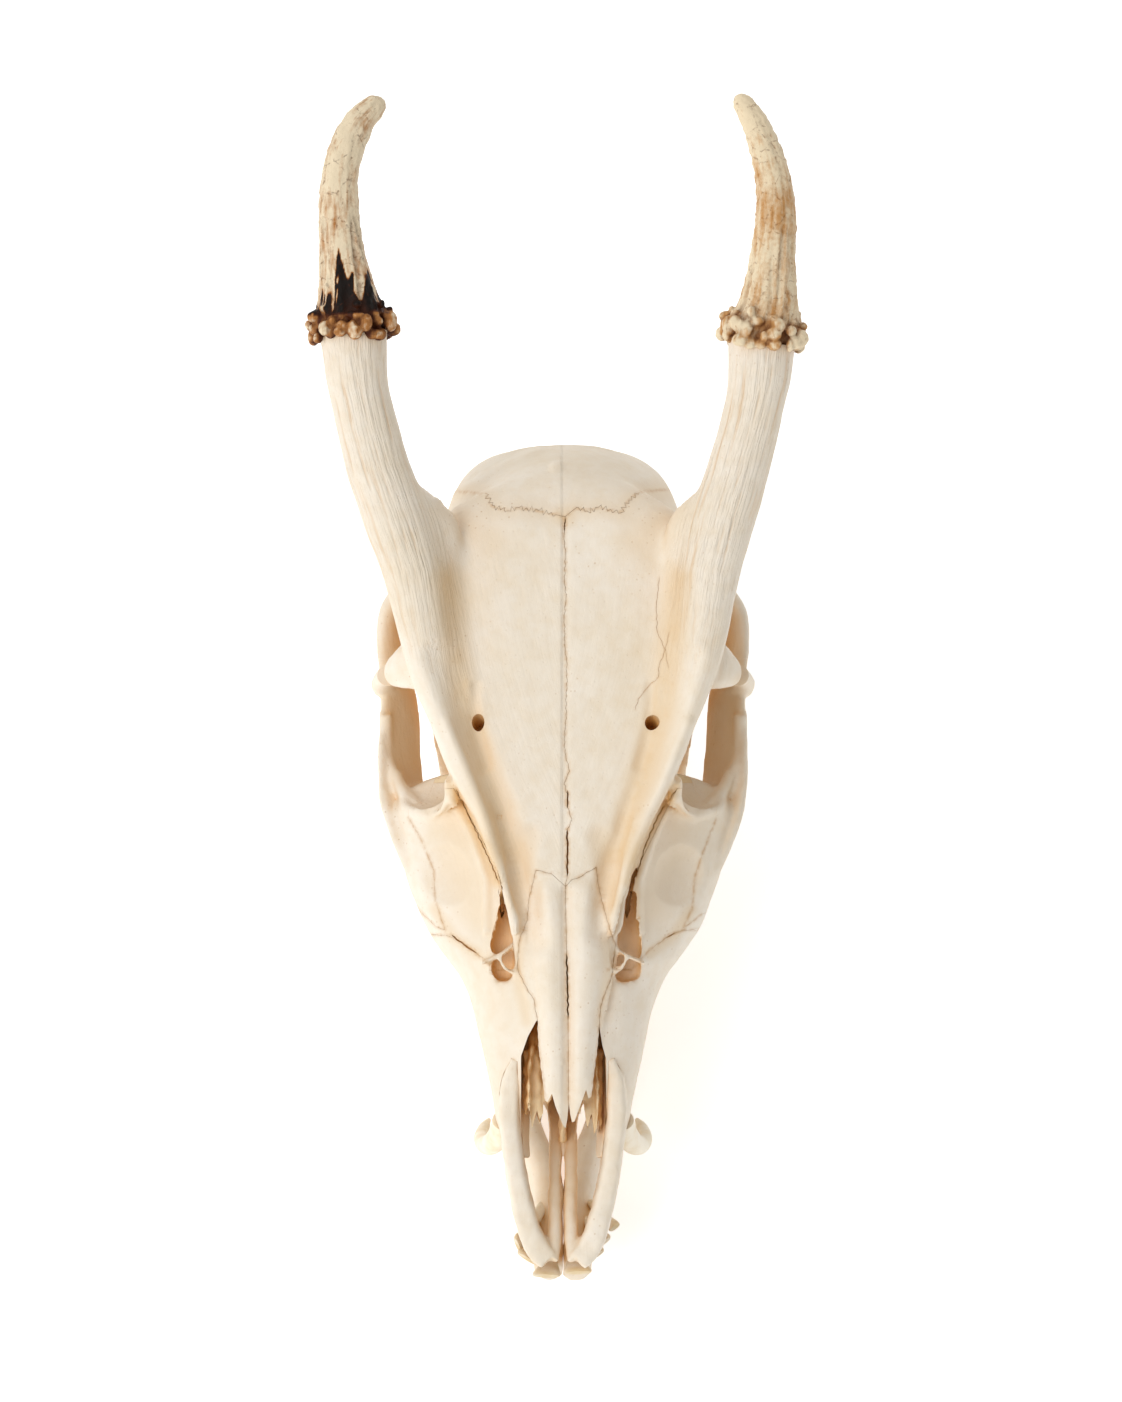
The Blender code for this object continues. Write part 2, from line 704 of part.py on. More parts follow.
def build_upper_bones():
    whole = build_cranium()
    bones = {}
    for name, side in SIDES:
        cut = [(24, PEDICEL_CUT_S), (60, PEDICEL_CUT_S), (60, 205), (24, 205)]
        bones["pedicel_" + name] = take(whole, "pedicel", cut, -15, 30, from_above(side))
    for name, side in SIDES:
        line = to_midline(NASAL_LINE, side)
        bones["nasal_" + name] = take(whole, "nasal", line, -5.8, 12, from_above(side))
    for name, side in SIDES:
        line = to_midline(FRONTAL_LINE, side)
        bones["frontal_" + name] = take(whole, "frontal", line, FRONTAL_DEPTH, 20, from_above(side))
    for name, side in SIDES:
        bones["jugal_" + name] = take(whole, "jugal", JUGAL_LINE, -46, 5, from_above(side))
    for name, side in SIDES:
        bones["lacrimal_" + name] = take(whole, "lacrimal", LACRIMAL_LINE, -30, 5, from_above(side))
    bones["parietals"] = take(whole, "parietals", PARIETAL_LINE, -30, 30, from_side_of_face(1))
    occiput = [(152, 105), (152, 15), (190, 15), (190, 105)]
    bones["occipital"] = take(whole, "occipital", occiput, -40, 40, from_side(1))
    temple = [(119, 100), (119, 20), (151.5, 20), (151.5, 100)]
    for name, side in SIDES:
        bones["temporal_" + name] = take(whole, "temporal", temple, 10.5, 60, from_side(side))
    face = [(5, 12), (5, -75), (FACE_BACK_S, -75), (FACE_BACK_S, 12)]
    for name, side in SIDES:
        inner = HALF_GAP if side > 0 else -2.0
        bones["maxilla_" + name] = take(whole, "maxilla", face, inner, 60, from_side_of_face(side))
    keep_largest(whole)
    bones["sphenoid"] = whole
    return bones


# Teeth

def cheek_tooth(side, x, y, length, half_width, lobes, gum, bite, slope):
    """A low column of one to three lobes, from inside the gum line to the bite."""
    pieces = []
    lobe_length = length / lobes
    for lobe in range(lobes):
        along = y - length / 2 + lobe_length * (lobe + 0.5)
        out = x + slope * (along - y)
        reach = lobe_length * 0.64
        pieces.append(sweep("lobe", [
            (side * out, along, gum, half_width, reach),
            (side * out, along, bite, half_width * 0.75, reach * 0.88),
        ], up=(0, 1, 0), where=rest, sides=6))
    return pieces


def tooth_row(side, teeth, start, end, gum, bite, seed):
    draw = random.Random(seed)
    pieces = []
    total = sum(length for length, _, _ in teeth)
    slope = (end[1] - start[1]) / (end[0] - start[0])
    y = start[0]
    for length, half_width, lobes in teeth:
        step = length * (end[0] - start[0]) / total
        middle = y + step / 2
        x = start[1] + slope * (middle - start[0])
        own_bite = bite + math.copysign(draw.uniform(0.0, 0.5), gum - bite)
        pieces += cheek_tooth(side, x, middle, step, half_width, lobes, gum, own_bite, slope)
        y += step
    return pieces


def front_teeth(name, side, draw):
    """Lower front teeth: each a thin root that widens to a flat spade, set along the arch of the jaw."""
    pieces = []
    tips = FRONT_TEETH[name]
    for i, (tip_x, tip_y, width) in enumerate(tips):
        before, after = tips[max(i - 1, 0)], tips[min(i + 1, len(tips) - 1)]
        edge = Vector((side * (after[0] - before[0]), (after[1] - before[1]) * min(i, 1) * 0.8, 0.0))
        root_x = tip_x * 0.55
        rise = Vector((side * (tip_x - root_x), -9.0, 9.7))
        face = edge.cross(rise).normalized()
        face *= math.copysign(1, face.z)
        tip_z = 24.2 + draw.uniform(-0.3, 0.1)
        pieces.append(sweep("front tooth", [
            (side * root_x, tip_y + 9.0, 14.5, 0.8, 1.1),
            (side * (root_x + tip_x) / 2, tip_y + 4.4, 19.0, width * 0.33, 1.2),
            (side * tip_x * 0.92, tip_y + 2.0, 21.8, width * 0.46, 1.0),
            (side * tip_x, tip_y, tip_z, width * 0.47, 0.45),
        ], up=tuple(face), where=rest, sides=8))
    return pieces


# Front teeth on each side, from the middle out: x and y of the tip, and the crown's width
FRONT_TEETH = {
    "r": [(3.4, 4.2, 5.8), (7.3, 8.4, 4.9), (9.4, 11.2, 4.2), (10.0, 14.4, 3.4)],
    "l": [(3.1, 5.0, 5.6), (6.8, 8.4, 4.9), (9.1, 11.4, 4.2), (10.7, 14.4, 3.2)],
}


# Lower jaw

RAMUS_LINE = [(101, 16), (107, 31), (112, 46), (115.5, 58), (119, 70), (124, 77.5), (129.5, 80), (131, 78.5),
              (127.5, 71), (126.2, 63), (129, 57.5), (132.5, 57.2), (138.5, 59.5), (138.6, 54), (136.2, 45),
              (135.0, 33), (134.4, 20), (130.5, 8.5), (124, 1.5), (116, -0.6), (104, -0.6)]


def ramus(side):
    """The upright blade of the jaw, leaning out as it rises."""
    thick = 1.7
    lean = 0.105
    bm = bmesh.new()
    rings = []
    for face in (-thick, thick):
        ring = []
        for y, z in RAMUS_LINE:
            ring.append(bm.verts.new(rest(side * (19.8 + lean * z + face), y, z)))
        rings.append(ring)
    bridge_rings(bm, rings)
    bmesh.ops.triangulate(bm, faces=[f for f in bm.faces if len(f.verts) > 4])
    return to_object("ramus", bm)


def build_jaw(name, side):
    body = sweep("body", mirrored([
        (2.6, 8.5, 17.2, 3.2, 3.4),
        (2.8, 16, 13.2, 3.6, 4.8),
        (3.0, 26, 9.2, 3.8, 5.8),
        (4.9, 36, 6.9, 3.3, 6.1),
        (8.6, 46, 6.6, 3.2, 6.9),
        (11.8, 58, 7.8, 3.3, 8.1),
        (14.2, 72, 8.7, 3.6, 9.1),
        (16.2, 86, 9.4, 3.8, 9.8),
        (18.4, 100, 10.2, 3.6, 10.6),
        (20.4, 110, 12.5, 3.0, 12.6),
        (21.6, 118, 16.0, 2.6, 14.0),
    ], side), where=rest, sides=14)
    shells = [
        body,
        ramus(side),
        ball("hinge knob", rest(side * CONDYLE[0], CONDYLE[1], CONDYLE[2]), CONDYLE[3:]),
    ]
    jaw = fuse(join_shells("jaw", shells), FINE_VOXEL, 3)
    thin_out(jaw, JAW_TRIANGLES)
    room = [(-20, 0), (-20, 110), (200, 110), (200, 0)]
    boolean(jaw, prism(room, HALF_GAP, 60, from_side(side)), "INTERSECT")
    draw = random.Random(31 + side)
    bite = BITE_HEIGHT - HALF_GAP
    teeth = tooth_row(side, LOWER_TEETH, LOWER_ROW_START, LOWER_ROW_END, LOWER_GUM, bite, 17 + side)
    teeth += front_teeth(name, side, draw)
    union_all(jaw, teeth)
    return jaw


# Antlers

def across_of(direction):
    helper = Vector((0, 0, 1))
    across = direction.cross(helper).normalized()
    return across, across.cross(direction).normalized()


def build_antler(name):
    """Burr ring of pearls, and a beam that thins and bends to its point."""
    path = ANTLER_PATHS[name]
    burr = BURR_CENTRES[name]
    side = 1 if name == "l" else -1
    ahead = (place(*path[1][:3]) - place(burr[0] - side * 0.1, burr[1] - 4.5, 8.6)).normalized()
    base = place(*burr) + ahead * (GAP - 0.7) * MM
    across, lift = across_of(ahead)
    beam = [(base, 6.7), (base + ahead * 1.6 * MM, 6.9)]
    beam += [(place(*station[:3]), station[3]) for station in path]
    shells = [tube(beam)]
    draw = random.Random(ord(name))
    for i in range(BURR_PEARLS):
        angle = 2 * math.pi * (i + draw.uniform(-0.25, 0.25)) / BURR_PEARLS
        out = across * math.cos(angle) + lift * math.sin(angle)
        size = draw.uniform(1.5, 2.3)
        rise = draw.uniform(0.9, 2.6)
        centre = base + out * (7.3 + draw.uniform(0, 0.6)) * MM + ahead * rise * MM
        shells.append(ball("pearl", centre, (size, size, size), detail=2))
    antler = fuse(join_shells("antler", shells), ANTLER_VOXEL, 1)
    thin_out(antler, ANTLER_TRIANGLES)
    trim = half_space(base, ahead)
    boolean(antler, trim, "INTERSECT")
    return antler, base, ahead


def tube(stations, sides=14):
    """A round tube through points in metres with radii in mm."""
    bm = bmesh.new()
    rings = []
    for i, (point, radius) in enumerate(stations):
        before = stations[max(i - 1, 0)][0]
        after = stations[min(i + 1, len(stations) - 1)][0]
        across, lift = across_of((after - before).normalized())
        ring = []
        for k in range(sides):
            angle = 2 * math.pi * k / sides
            out = across * math.cos(angle) + lift * math.sin(angle)
            ring.append(bm.verts.new(point + out * radius * MM))
        rings.append(ring)
    bridge_rings(bm, rings)
    return to_object("tube", bm)


def half_space(point, ahead, size=80.0):
    """A cube whose near face passes through the point, square to ahead."""
    across, lift = across_of(ahead)
    bm = bmesh.new()
    rings = []
    for depth in (0, size):
        corners = [(-1, -1), (1, -1), (1, 1), (-1, 1)]
        middle = point + ahead * depth * MM
        ring = [bm.verts.new(middle + (across * u + lift * v) * size * MM) for u, v in corners]
        rings.append(ring)
    bridge_rings(bm, rings)
    return to_object("half", bm)


# Inside of the nose

def nose_bones(grow=0.0):
    """The thin wall down the middle of the nose, and a curled plate on each side."""
    pieces = [mass("vomer", [
        (53, -8.5, -23.0, 0.9, 0.9, 1.4),
        (44, -8.0, -24.4, 0.8, 0.8, 1.6),
        (36, -10.0, -24.4, 0.7, 0.7, 1.6),
        (30, -14.0, -23.8, 0.6, 0.6, 1.4),
        (25, -19.0, -21.9, 0.6, 0.6, 1.0),
    ], square=0.8, sides=12, grow=grow)]
    for _, side in SIDES:
        pieces.append(sweep("scroll", mirrored([
            (0.6, 52, -15.0, 3.2, 0.7),
            (3.4, 46, -13.0, 2.8, 0.7),
            (4.8, 39, -12.5, 2.0, 0.7),
            (5.0, 31, -14.5, 1.2, 0.6),
        ], side), sides=8, grow=grow))
    return pieces


def build_premaxilla(side):
    """The bar and the palate strip, joined at the tip of the upper jaw."""
    bone = union_all(premaxilla_bar(side), [premaxilla_strip(side)])
    boolean(bone, sweep("tusk room", tusk_stations(side), grow=GAP), "DIFFERENCE")
    half = [(-10, -40), (-10, 20), (60, 20), (60, -40)]
    boolean(bone, prism(half, HALF_GAP, 60, from_side_of_face(side)), "INTERSECT")
    for piece in nose_bones(grow=GAP):
        boolean(bone, piece, "DIFFERENCE")
    return bone


def main():
    clear_scene()
    bones = build_upper_bones()
    for name, side in SIDES:
        antler, base, ahead = build_antler(name)
        boolean(bones["pedicel_" + name], half_space(base - ahead * GAP * MM, ahead), "DIFFERENCE")
        finish(antler, "antler_" + name, ANTLER, 0.7)
        bite = BITE_HEIGHT + HALF_GAP
        teeth = tooth_row(side, UPPER_TEETH, UPPER_ROW_START, UPPER_ROW_END, UPPER_GUM, bite, 5 + side)
        union_all(bones["maxilla_" + name], teeth)
        finish(sweep("tusk", tusk_stations(side)), "tusk_" + name, IVORY, 0.35)
        finish(build_premaxilla(side), "premaxilla_" + name, BONE)
        finish(build_jaw(name, side), "mandible_" + name, BONE)
    for name, bone in bones.items():
        finish(bone, name, BONE if name != "sphenoid" else BONE_SHADE)
    wall, *scrolls = nose_bones()
    finish(union_all(wall, scrolls), "turbinates", BONE_SHADE, 0.8)


main()
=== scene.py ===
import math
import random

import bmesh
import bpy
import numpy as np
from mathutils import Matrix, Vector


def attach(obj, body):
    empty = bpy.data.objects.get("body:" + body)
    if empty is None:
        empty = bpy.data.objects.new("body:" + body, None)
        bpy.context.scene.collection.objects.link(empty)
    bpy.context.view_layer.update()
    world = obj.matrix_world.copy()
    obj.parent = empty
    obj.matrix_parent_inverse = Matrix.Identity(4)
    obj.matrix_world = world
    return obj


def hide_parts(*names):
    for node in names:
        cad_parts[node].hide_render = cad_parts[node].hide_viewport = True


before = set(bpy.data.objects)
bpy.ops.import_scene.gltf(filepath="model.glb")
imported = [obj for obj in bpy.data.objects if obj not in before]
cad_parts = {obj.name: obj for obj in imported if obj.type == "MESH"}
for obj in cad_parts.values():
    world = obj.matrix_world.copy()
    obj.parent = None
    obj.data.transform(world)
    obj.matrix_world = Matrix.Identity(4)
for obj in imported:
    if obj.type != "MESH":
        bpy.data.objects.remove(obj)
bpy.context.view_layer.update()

# Skull of a muntjac buck with lower jaw, tusks and antlers, cleaned and bleached, lying on its lower jaw.
#
# The face frame follows the flat of the forehead: x to the animal's left, s along the midline from
# the tip of the upper jaw back towards the antlers, n square to the forehead and up. Sizes are in
# millimetres until place() or rest() turns them into metres.

# Driving sizes
MM = 0.001
FACE_SLOPE = math.radians(25)
FACE_BASE = 37.0
BACK_SHIFT = 107.9
SIDE_SHIFT = -0.8
SLOPE_COS = math.cos(FACE_SLOPE)
SLOPE_SIN = math.sin(FACE_SLOPE)
SUTURE = 0.06
TIGHT_SUTURE = 0.04
HALF_SUTURE = 0.03
COARSE_VOXEL = 0.8
FINE_VOXEL = 0.55
SMALL_VOXEL = 0.35
SIDES = (("l", 1), ("r", -1))
ABOVE_ALL = 40

# Eye socket, slope of the face's sides, jaw hinge and bite
ORBIT_CENTRE = (105.0, -14.5)
ORBIT_RADIUS = 14.0
FACE_SIDE_TILT = 38.0
FACE_SIDE_DEPTH = -26.0
HINGE = (24.5, 135.5, 60.5)
HINGE_SIZE = (5.2, 3.0, 3.2)
BITE_HEIGHT = 23.0
BITE_GAP = 0.15
LOWER_GUM = 12.5
UPPER_GUM = 32.5

# How fine the nose plates and the antlers are melted together, and how sharp an edge still reads as round
PLATE_VOXEL = 0.3
ANTLER_VOXEL = 0.26
BONE_EDGE = 38
CHEEK_TOOTH_EDGE = 50
FRONT_TOOTH_EDGE = 60
ANTLER_BEAM_SIDES = 96
GROOVES = 22


# Places and colours

def place(x, s, n):
    """A point of the face frame as metres in the room."""
    y = s * SLOPE_COS - n * SLOPE_SIN
    z = FACE_BASE + s * SLOPE_SIN + n * SLOPE_COS
    return Vector((x - SIDE_SHIFT, y - BACK_SHIFT, z)) * MM


def rest(x, y, z):
    """A point measured level with the floor as metres in the room, y back from the upper jaw's tip."""
    return Vector((x - SIDE_SHIFT, y - BACK_SHIFT, z)) * MM


def face_of(points):
    """The face frame's x, s and n in millimetres of an array of points in metres."""
    x = points[:, 0] / MM + SIDE_SHIFT
    back = points[:, 1] / MM + BACK_SHIFT
    up = points[:, 2] / MM - FACE_BASE
    return np.stack([x, back * SLOPE_COS + up * SLOPE_SIN, up * SLOPE_COS - back * SLOPE_SIN], axis=1)


def read_points(obj, field="co"):
    """A mesh's points, or their normals, as an array with a row for each."""
    flat = np.empty(len(obj.data.vertices) * 3, np.float32)
    obj.data.vertices.foreach_get(field, flat)
    return flat.reshape(-1, 3).astype(np.float64)


def mirrored(stations, side):
    """Stations of the left side, for the side that is asked for: 1 is left and -1 is right."""
    return [(side * station[0],) + tuple(station[1:]) for station in stations]


def linear(code):
    """A hex colour as the linear numbers that a shader takes."""
    parts = [int(code[i:i + 2], 16) / 255 for i in (1, 3, 5)]
    return tuple(p / 12.92 if p <= 0.04045 else ((p + 0.055) / 1.055) ** 2.4 for p in parts) + (1.0,)


def smooth_line(points, steps=6):
    """A soft curve through the points, so that a few of them give a long one."""
    points = [np.array(p, float) for p in points]
    ends = [2 * points[0] - points[1]] + points + [2 * points[-1] - points[-2]]
    line = []
    for a, b, c, d in zip(ends, ends[1:], ends[2:], ends[3:]):
        for i in range(steps):
            t = i / steps
            line.append(0.5 * (2 * b + (c - a) * t + (2 * a - 5 * b + 4 * c - d) * t ** 2
                               + (3 * b - a - 3 * c + d) * t ** 3))
    line.append(points[-1])
    return line


def jagged(points, step, depth, seed):
    """The line broken into short teeth, as two bones lock into each other."""
    draw = random.Random(seed)
    line = [tuple(points[0])]
    turn = 1
    for a, b in zip(points, points[1:]):
        length = math.hypot(b[0] - a[0], b[1] - a[1])
        count = max(1, round(length / step))
        for i in range(1, count + 1):
            t = i / count
            across = turn * depth * draw.uniform(0.3, 1.0) * (i < count)
            along = draw.uniform(-0.2, 0.2) * step * (i < count)
            ahead = ((b[0] - a[0]) / max(length, 1e-6), (b[1] - a[1]) / max(length, 1e-6))
            line.append((a[0] + (b[0] - a[0]) * t + ahead[0] * along - ahead[1] * across,
                         a[1] + (b[1] - a[1]) * t + ahead[1] * along + ahead[0] * across))
            turn = -turn
    return line


# Modelling by hand: each form starts from a disc that is drawn out ring by ring

def deselect():
    """Back to object mode with nothing picked."""
    if bpy.context.object and bpy.context.object.mode != "OBJECT":
        bpy.ops.object.mode_set(mode="OBJECT")
    bpy.ops.object.select_all(action="DESELECT")


def pick(obj):
    deselect()
    obj.select_set(True)
    bpy.context.view_layer.objects.active = obj


def draw_out(name, rings):
    """A closed form: a disc is extruded once for each ring, and the new ring's points are placed."""
    deselect()
    bpy.ops.mesh.primitive_circle_add(vertices=len(rings[0]), radius=1.0, fill_type="NGON")
    obj = bpy.context.object
    obj.name = name
    bpy.ops.object.mode_set(mode="EDIT")
    bm = bmesh.from_edit_mesh(obj.data)
    bm.verts.ensure_lookup_table()
    for vert, point in zip(bm.verts, rings[0]):
        vert.co = point
    slots = {tuple(vert.co): i for i, vert in enumerate(bm.verts)}
    for ring in rings[1:]:
        bpy.ops.mesh.extrude_region_move()
        bm = bmesh.from_edit_mesh(obj.data)
        lifted = {}
        for vert in bm.verts:
            if vert.select:
                order = slots[tuple(vert.co)]
                vert.co = ring[order]
                lifted[tuple(vert.co)] = order
        slots = lifted
    bpy.ops.mesh.select_all(action="SELECT")
    bpy.ops.mesh.normals_make_consistent(inside=False)
    bpy.ops.object.mode_set(mode="OBJECT")
    return obj


def signed_power(value, power):
    return math.copysign(abs(value) ** power, value)


def mass(name, stations, square=0.75, sides=40, centre=(0.0, 0.0)):
    """A body along s. Each station is s, top n, bottom n, and half widths at the top, middle and bottom.

    Its middle goes from the first to the second x of centre.
    """
    first_s, last_s = stations[0][0], stations[-1][0]
    stations = [tuple(station) for station in smooth_line(stations, 3)]
    rings = []
    for s, top, bottom, wide_top, wide_mid, wide_bottom in stations:
        ring = []
        for i in range(sides):
            angle = 2 * math.pi * i / sides
            level = signed_power(math.sin(angle), square)
            across = signed_power(math.cos(angle), square)
            side = wide_top if level > 0 else wide_bottom
            width = wide_mid + (side - wide_mid) * abs(level) ** 1.5
            middle = centre[0] + (centre[1] - centre[0]) * (s - first_s) / (last_s - first_s)
            ring.append(place(middle + across * width, s, (top + bottom) / 2 + level * (top - bottom) / 2))
        rings.append(ring)
    return draw_out(name, rings)


def sweep(name, stations, up=(0, 0, 1), where=place, sides=20, grow=0.0, steps=4, square=1.0):
    """A rod through stations, each a point and its half sizes across and along up.

    A station with one half size is round there. Below 1, square flattens the rod's sides.
    """
    stations = [tuple(s) + (s[3],) * (len(s) == 4) for s in stations]
    stations = [tuple(s) for s in smooth_line(stations, steps)]
    points = [where(*station[:3]) for station in stations]
    up = (where(*up) - where(0, 0, 0)).normalized()
    rings = []
    for i, station in enumerate(stations):
        across_size = max(station[3], 0.05) + grow
        up_size = max(station[4], 0.05) + grow
        ahead = (points[min(i + 1, len(points) - 1)] - points[max(i - 1, 0)]).normalized()
        across = ahead.cross(up).normalized()
        lift = across.cross(ahead).normalized()
        centre = points[i]
        if i == 0:
            centre = centre - ahead * grow * MM
        if i == len(points) - 1:
            centre = centre + ahead * grow * MM
        ring = []
        for k in range(sides):
            angle = 2 * math.pi * k / sides
            right = signed_power(math.cos(angle), square) * across_size
            high = signed_power(math.sin(angle), square) * up_size
            ring.append(centre + (across * right + lift * high) * MM)
        rings.append(ring)
    return draw_out(name, rings)


def lump(name, centre, radii, grow=0.0, face=False, detail=4):
    """A rounded mass at its size and place, along the room's axes or the face's."""
    deselect()
    bpy.ops.mesh.primitive_ico_sphere_add(subdivisions=detail, radius=1.0, location=(0, 0, 0))
    obj = bpy.context.object
    obj.name = name
    for vert in obj.data.vertices:
        size = [c * (r + grow) for c, r in zip(vert.co, radii)]
        if face:
            vert.co = place(*(c + d for c, d in zip(centre, size)))
        else:
            vert.co = centre + Vector(size) * MM
    return obj


def block(outline, low, high, point):
    """A flat outline drawn out along its third axis, as point() maps it."""
    rings = [[point(u, v, w) for u, v in outline] for w in (low, high)]
    return draw_out("block", rings)


def grown_outline(outline, grow):
    """The outline with each corner moved out by grow, mitred."""
    area = sum(a[0] * b[1] - b[0] * a[1] for a, b in zip(outline, outline[1:] + outline[:1]))
    turn = 1 if area > 0 else -1
    result = []
    for before, here, after in zip(outline[-1:] + outline[:-1], outline, outline[1:] + outline[:1]):
        into = Vector((here[0] - before[0], here[1] - before[1])).normalized()
        out_of = Vector((after[0] - here[0], after[1] - here[1])).normalized()
        normal_in = Vector((into.y, -into.x)) * turn
        normal_out = Vector((out_of.y, -out_of.x)) * turn
        mitre = (normal_in + normal_out).normalized()
        reach = grow / max(mitre.dot(normal_in), 0.5)
        result.append((here[0] + mitre.x * reach, here[1] + mitre.y * reach))
    return result


def apply(obj, kind, **settings):
    """Adds a modifier with its settings and applies it."""
    pick(obj)
    modifier = obj.modifiers.new(kind.lower(), kind)
    for key, value in settings.items():
        setattr(modifier, key, value)
    bpy.ops.object.modifier_apply(modifier=modifier.name)


def joined(name, objects):
    deselect()
    for obj in objects:
        obj.select_set(True)
    bpy.context.view_layer.objects.active = objects[0]
    bpy.ops.object.join()
    obj = bpy.context.object
    obj.name = name
    return obj


def both_sides(cutters):
    """Each left cutter made one with its right twin, so that a single cut does both."""
    return [joined("pair", list(pair)) for pair in zip(*cutters)]


def fused(name, objects, voxel, smooth):
    """Overlapping forms melted into one closed skin, then eased."""
    obj = joined(name, objects)
    apply(obj, "REMESH", mode="VOXEL", voxel_size=voxel * MM)
    apply(obj, "SMOOTH", factor=0.5, iterations=smooth)
    return obj


def smooth_look(degrees):
    """Shades the picked piece round, but keeps edges that are sharper than this."""
    bpy.ops.object.shade_smooth_by_angle(angle=math.radians(degrees))


def removed(obj):
    bpy.data.objects.remove(obj, do_unlink=True)


def cut(obj, cutter, operation="DIFFERENCE"):
    """Cuts the cutter out of the piece, or keeps what they share, and removes the cutter."""
    apply(obj, "BOOLEAN", operation=operation, solver="MANIFOLD", object=cutter)
    removed(cutter)


def twin(obj, name):
    copy = bpy.data.objects.new(name, obj.data.copy())
    bpy.context.scene.collection.objects.link(copy)
    return copy


def taken(whole, name, outline, low, high, point, gap=TIGHT_SUTURE):
    """One bone parted from the whole along its sutures."""
    bone = twin(whole, name)
    cut(bone, block(outline, low, high, point), "INTERSECT")
    cut(whole, block(grown_outline(outline, gap), low - gap, high + gap, point))
    return bone


SLANT_ABOVE = 14.0
SLANT_BELOW = 22.0


def slanted(obj, side, outline, gap):
    """A block whose walls stand square to the slope of the face, through the outline as seen from above."""
    tilt = math.radians(FACE_SIDE_TILT)
    out = (place(side * math.sin(tilt), 0, math.cos(tilt)) - place(0, 0, 0)) / MM
    down = (place(0, 0, -1) - place(0, 0, 0)).normalized()
    points = []
    for here, grown in zip(outline, grown_outline(outline, gap) if gap else outline):
        hit, spot, _, _ = obj.ray_cast(place(here[0], here[1], ABOVE_ALL), down)
        depth = face_of(np.array([spot]))[0][2] if hit else FACE_SIDE_DEPTH
        points.append(place(grown[0], grown[1], depth))
    return draw_out("block", [[point - out * SLANT_BELOW * MM for point in points],
                              [point + out * SLANT_ABOVE * MM for point in points]])


def taken_slanted(whole, name, outlines):
    """The same bone on both sides, parted with slanted walls; returns the left one and the right one."""
    pair = twin(whole, name)
    blocks = [slanted(whole, side, outlines[key], 0.0) for key, side in SIDES]
    grown = [slanted(whole, side, outlines[key], TIGHT_SUTURE) for key, side in SIDES]
    cut(pair, joined("blocks", blocks), "INTERSECT")
    cut(whole, joined("blocks", grown))
    return parted(pair)


def taken_pair(whole, name, outline, low, high, point):
    """The same bone on both sides, parted with one cut; point() makes the mapping for a side."""
    pair = twin(whole, name)
    cut(pair, joined("blocks", [block(outline, low, high, point(side)) for _, side in SIDES]), "INTERSECT")
    gap = TIGHT_SUTURE
    wide = grown_outline(outline, gap)
    cut(whole, joined("blocks", [block(wide, low - gap, high + gap, point(side)) for _, side in SIDES]))
    return parted(pair)


def parted(pair):
    """A pair of bones as two objects, left and right of the midline."""
    halves = []
    for label, side in SIDES:
        half = twin(pair, pair.name + "_" + label)
        drop_points(half, face_of(read_points(half))[:, 0] * side < 0)
        halves.append(half)
    removed(pair)
    return halves


def drop_points(obj, unwanted):
    pick(obj)
    bpy.ops.object.mode_set(mode="EDIT")
    bpy.ops.mesh.select_mode(type="VERT")
    bpy.ops.mesh.select_all(action="DESELECT")
    bpy.ops.object.mode_set(mode="OBJECT")
    obj.data.vertices.foreach_set("select", unwanted)
    bpy.ops.object.mode_set(mode="EDIT")
    bpy.ops.mesh.delete(type="VERT")
    bpy.ops.object.mode_set(mode="OBJECT")


def largest_only(obj):
    """Drops loose scraps, so that one closed surface is left."""
    count = len(obj.data.vertices)
    label = np.arange(count)
    ends = np.empty(len(obj.data.edges) * 2, np.int64)
    obj.data.edges.foreach_get("vertices", ends)
    a, b = ends.reshape(-1, 2).T
    while True:
        low = np.minimum(label[a], label[b])
        before = label.copy()
        np.minimum.at(label, a, low)
        np.minimum.at(label, b, low)
        label = label[label]
        if (label == before).all():
            break
    names, counts = np.unique(label, return_counts=True)
    if len(names) == 1:
        return obj
    drop_points(obj, label != names[counts.argmax()])
    return obj


def from_side_of_face(side):
    return lambda u, v, w: place(side * w, u, v)


def from_side(side):
    return lambda u, v, w: rest(side * w, u, v)


# Carving: strokes of a sculptor's tool. Sculpt brushes need a window, so each stroke moves the points
# near its line along their normals

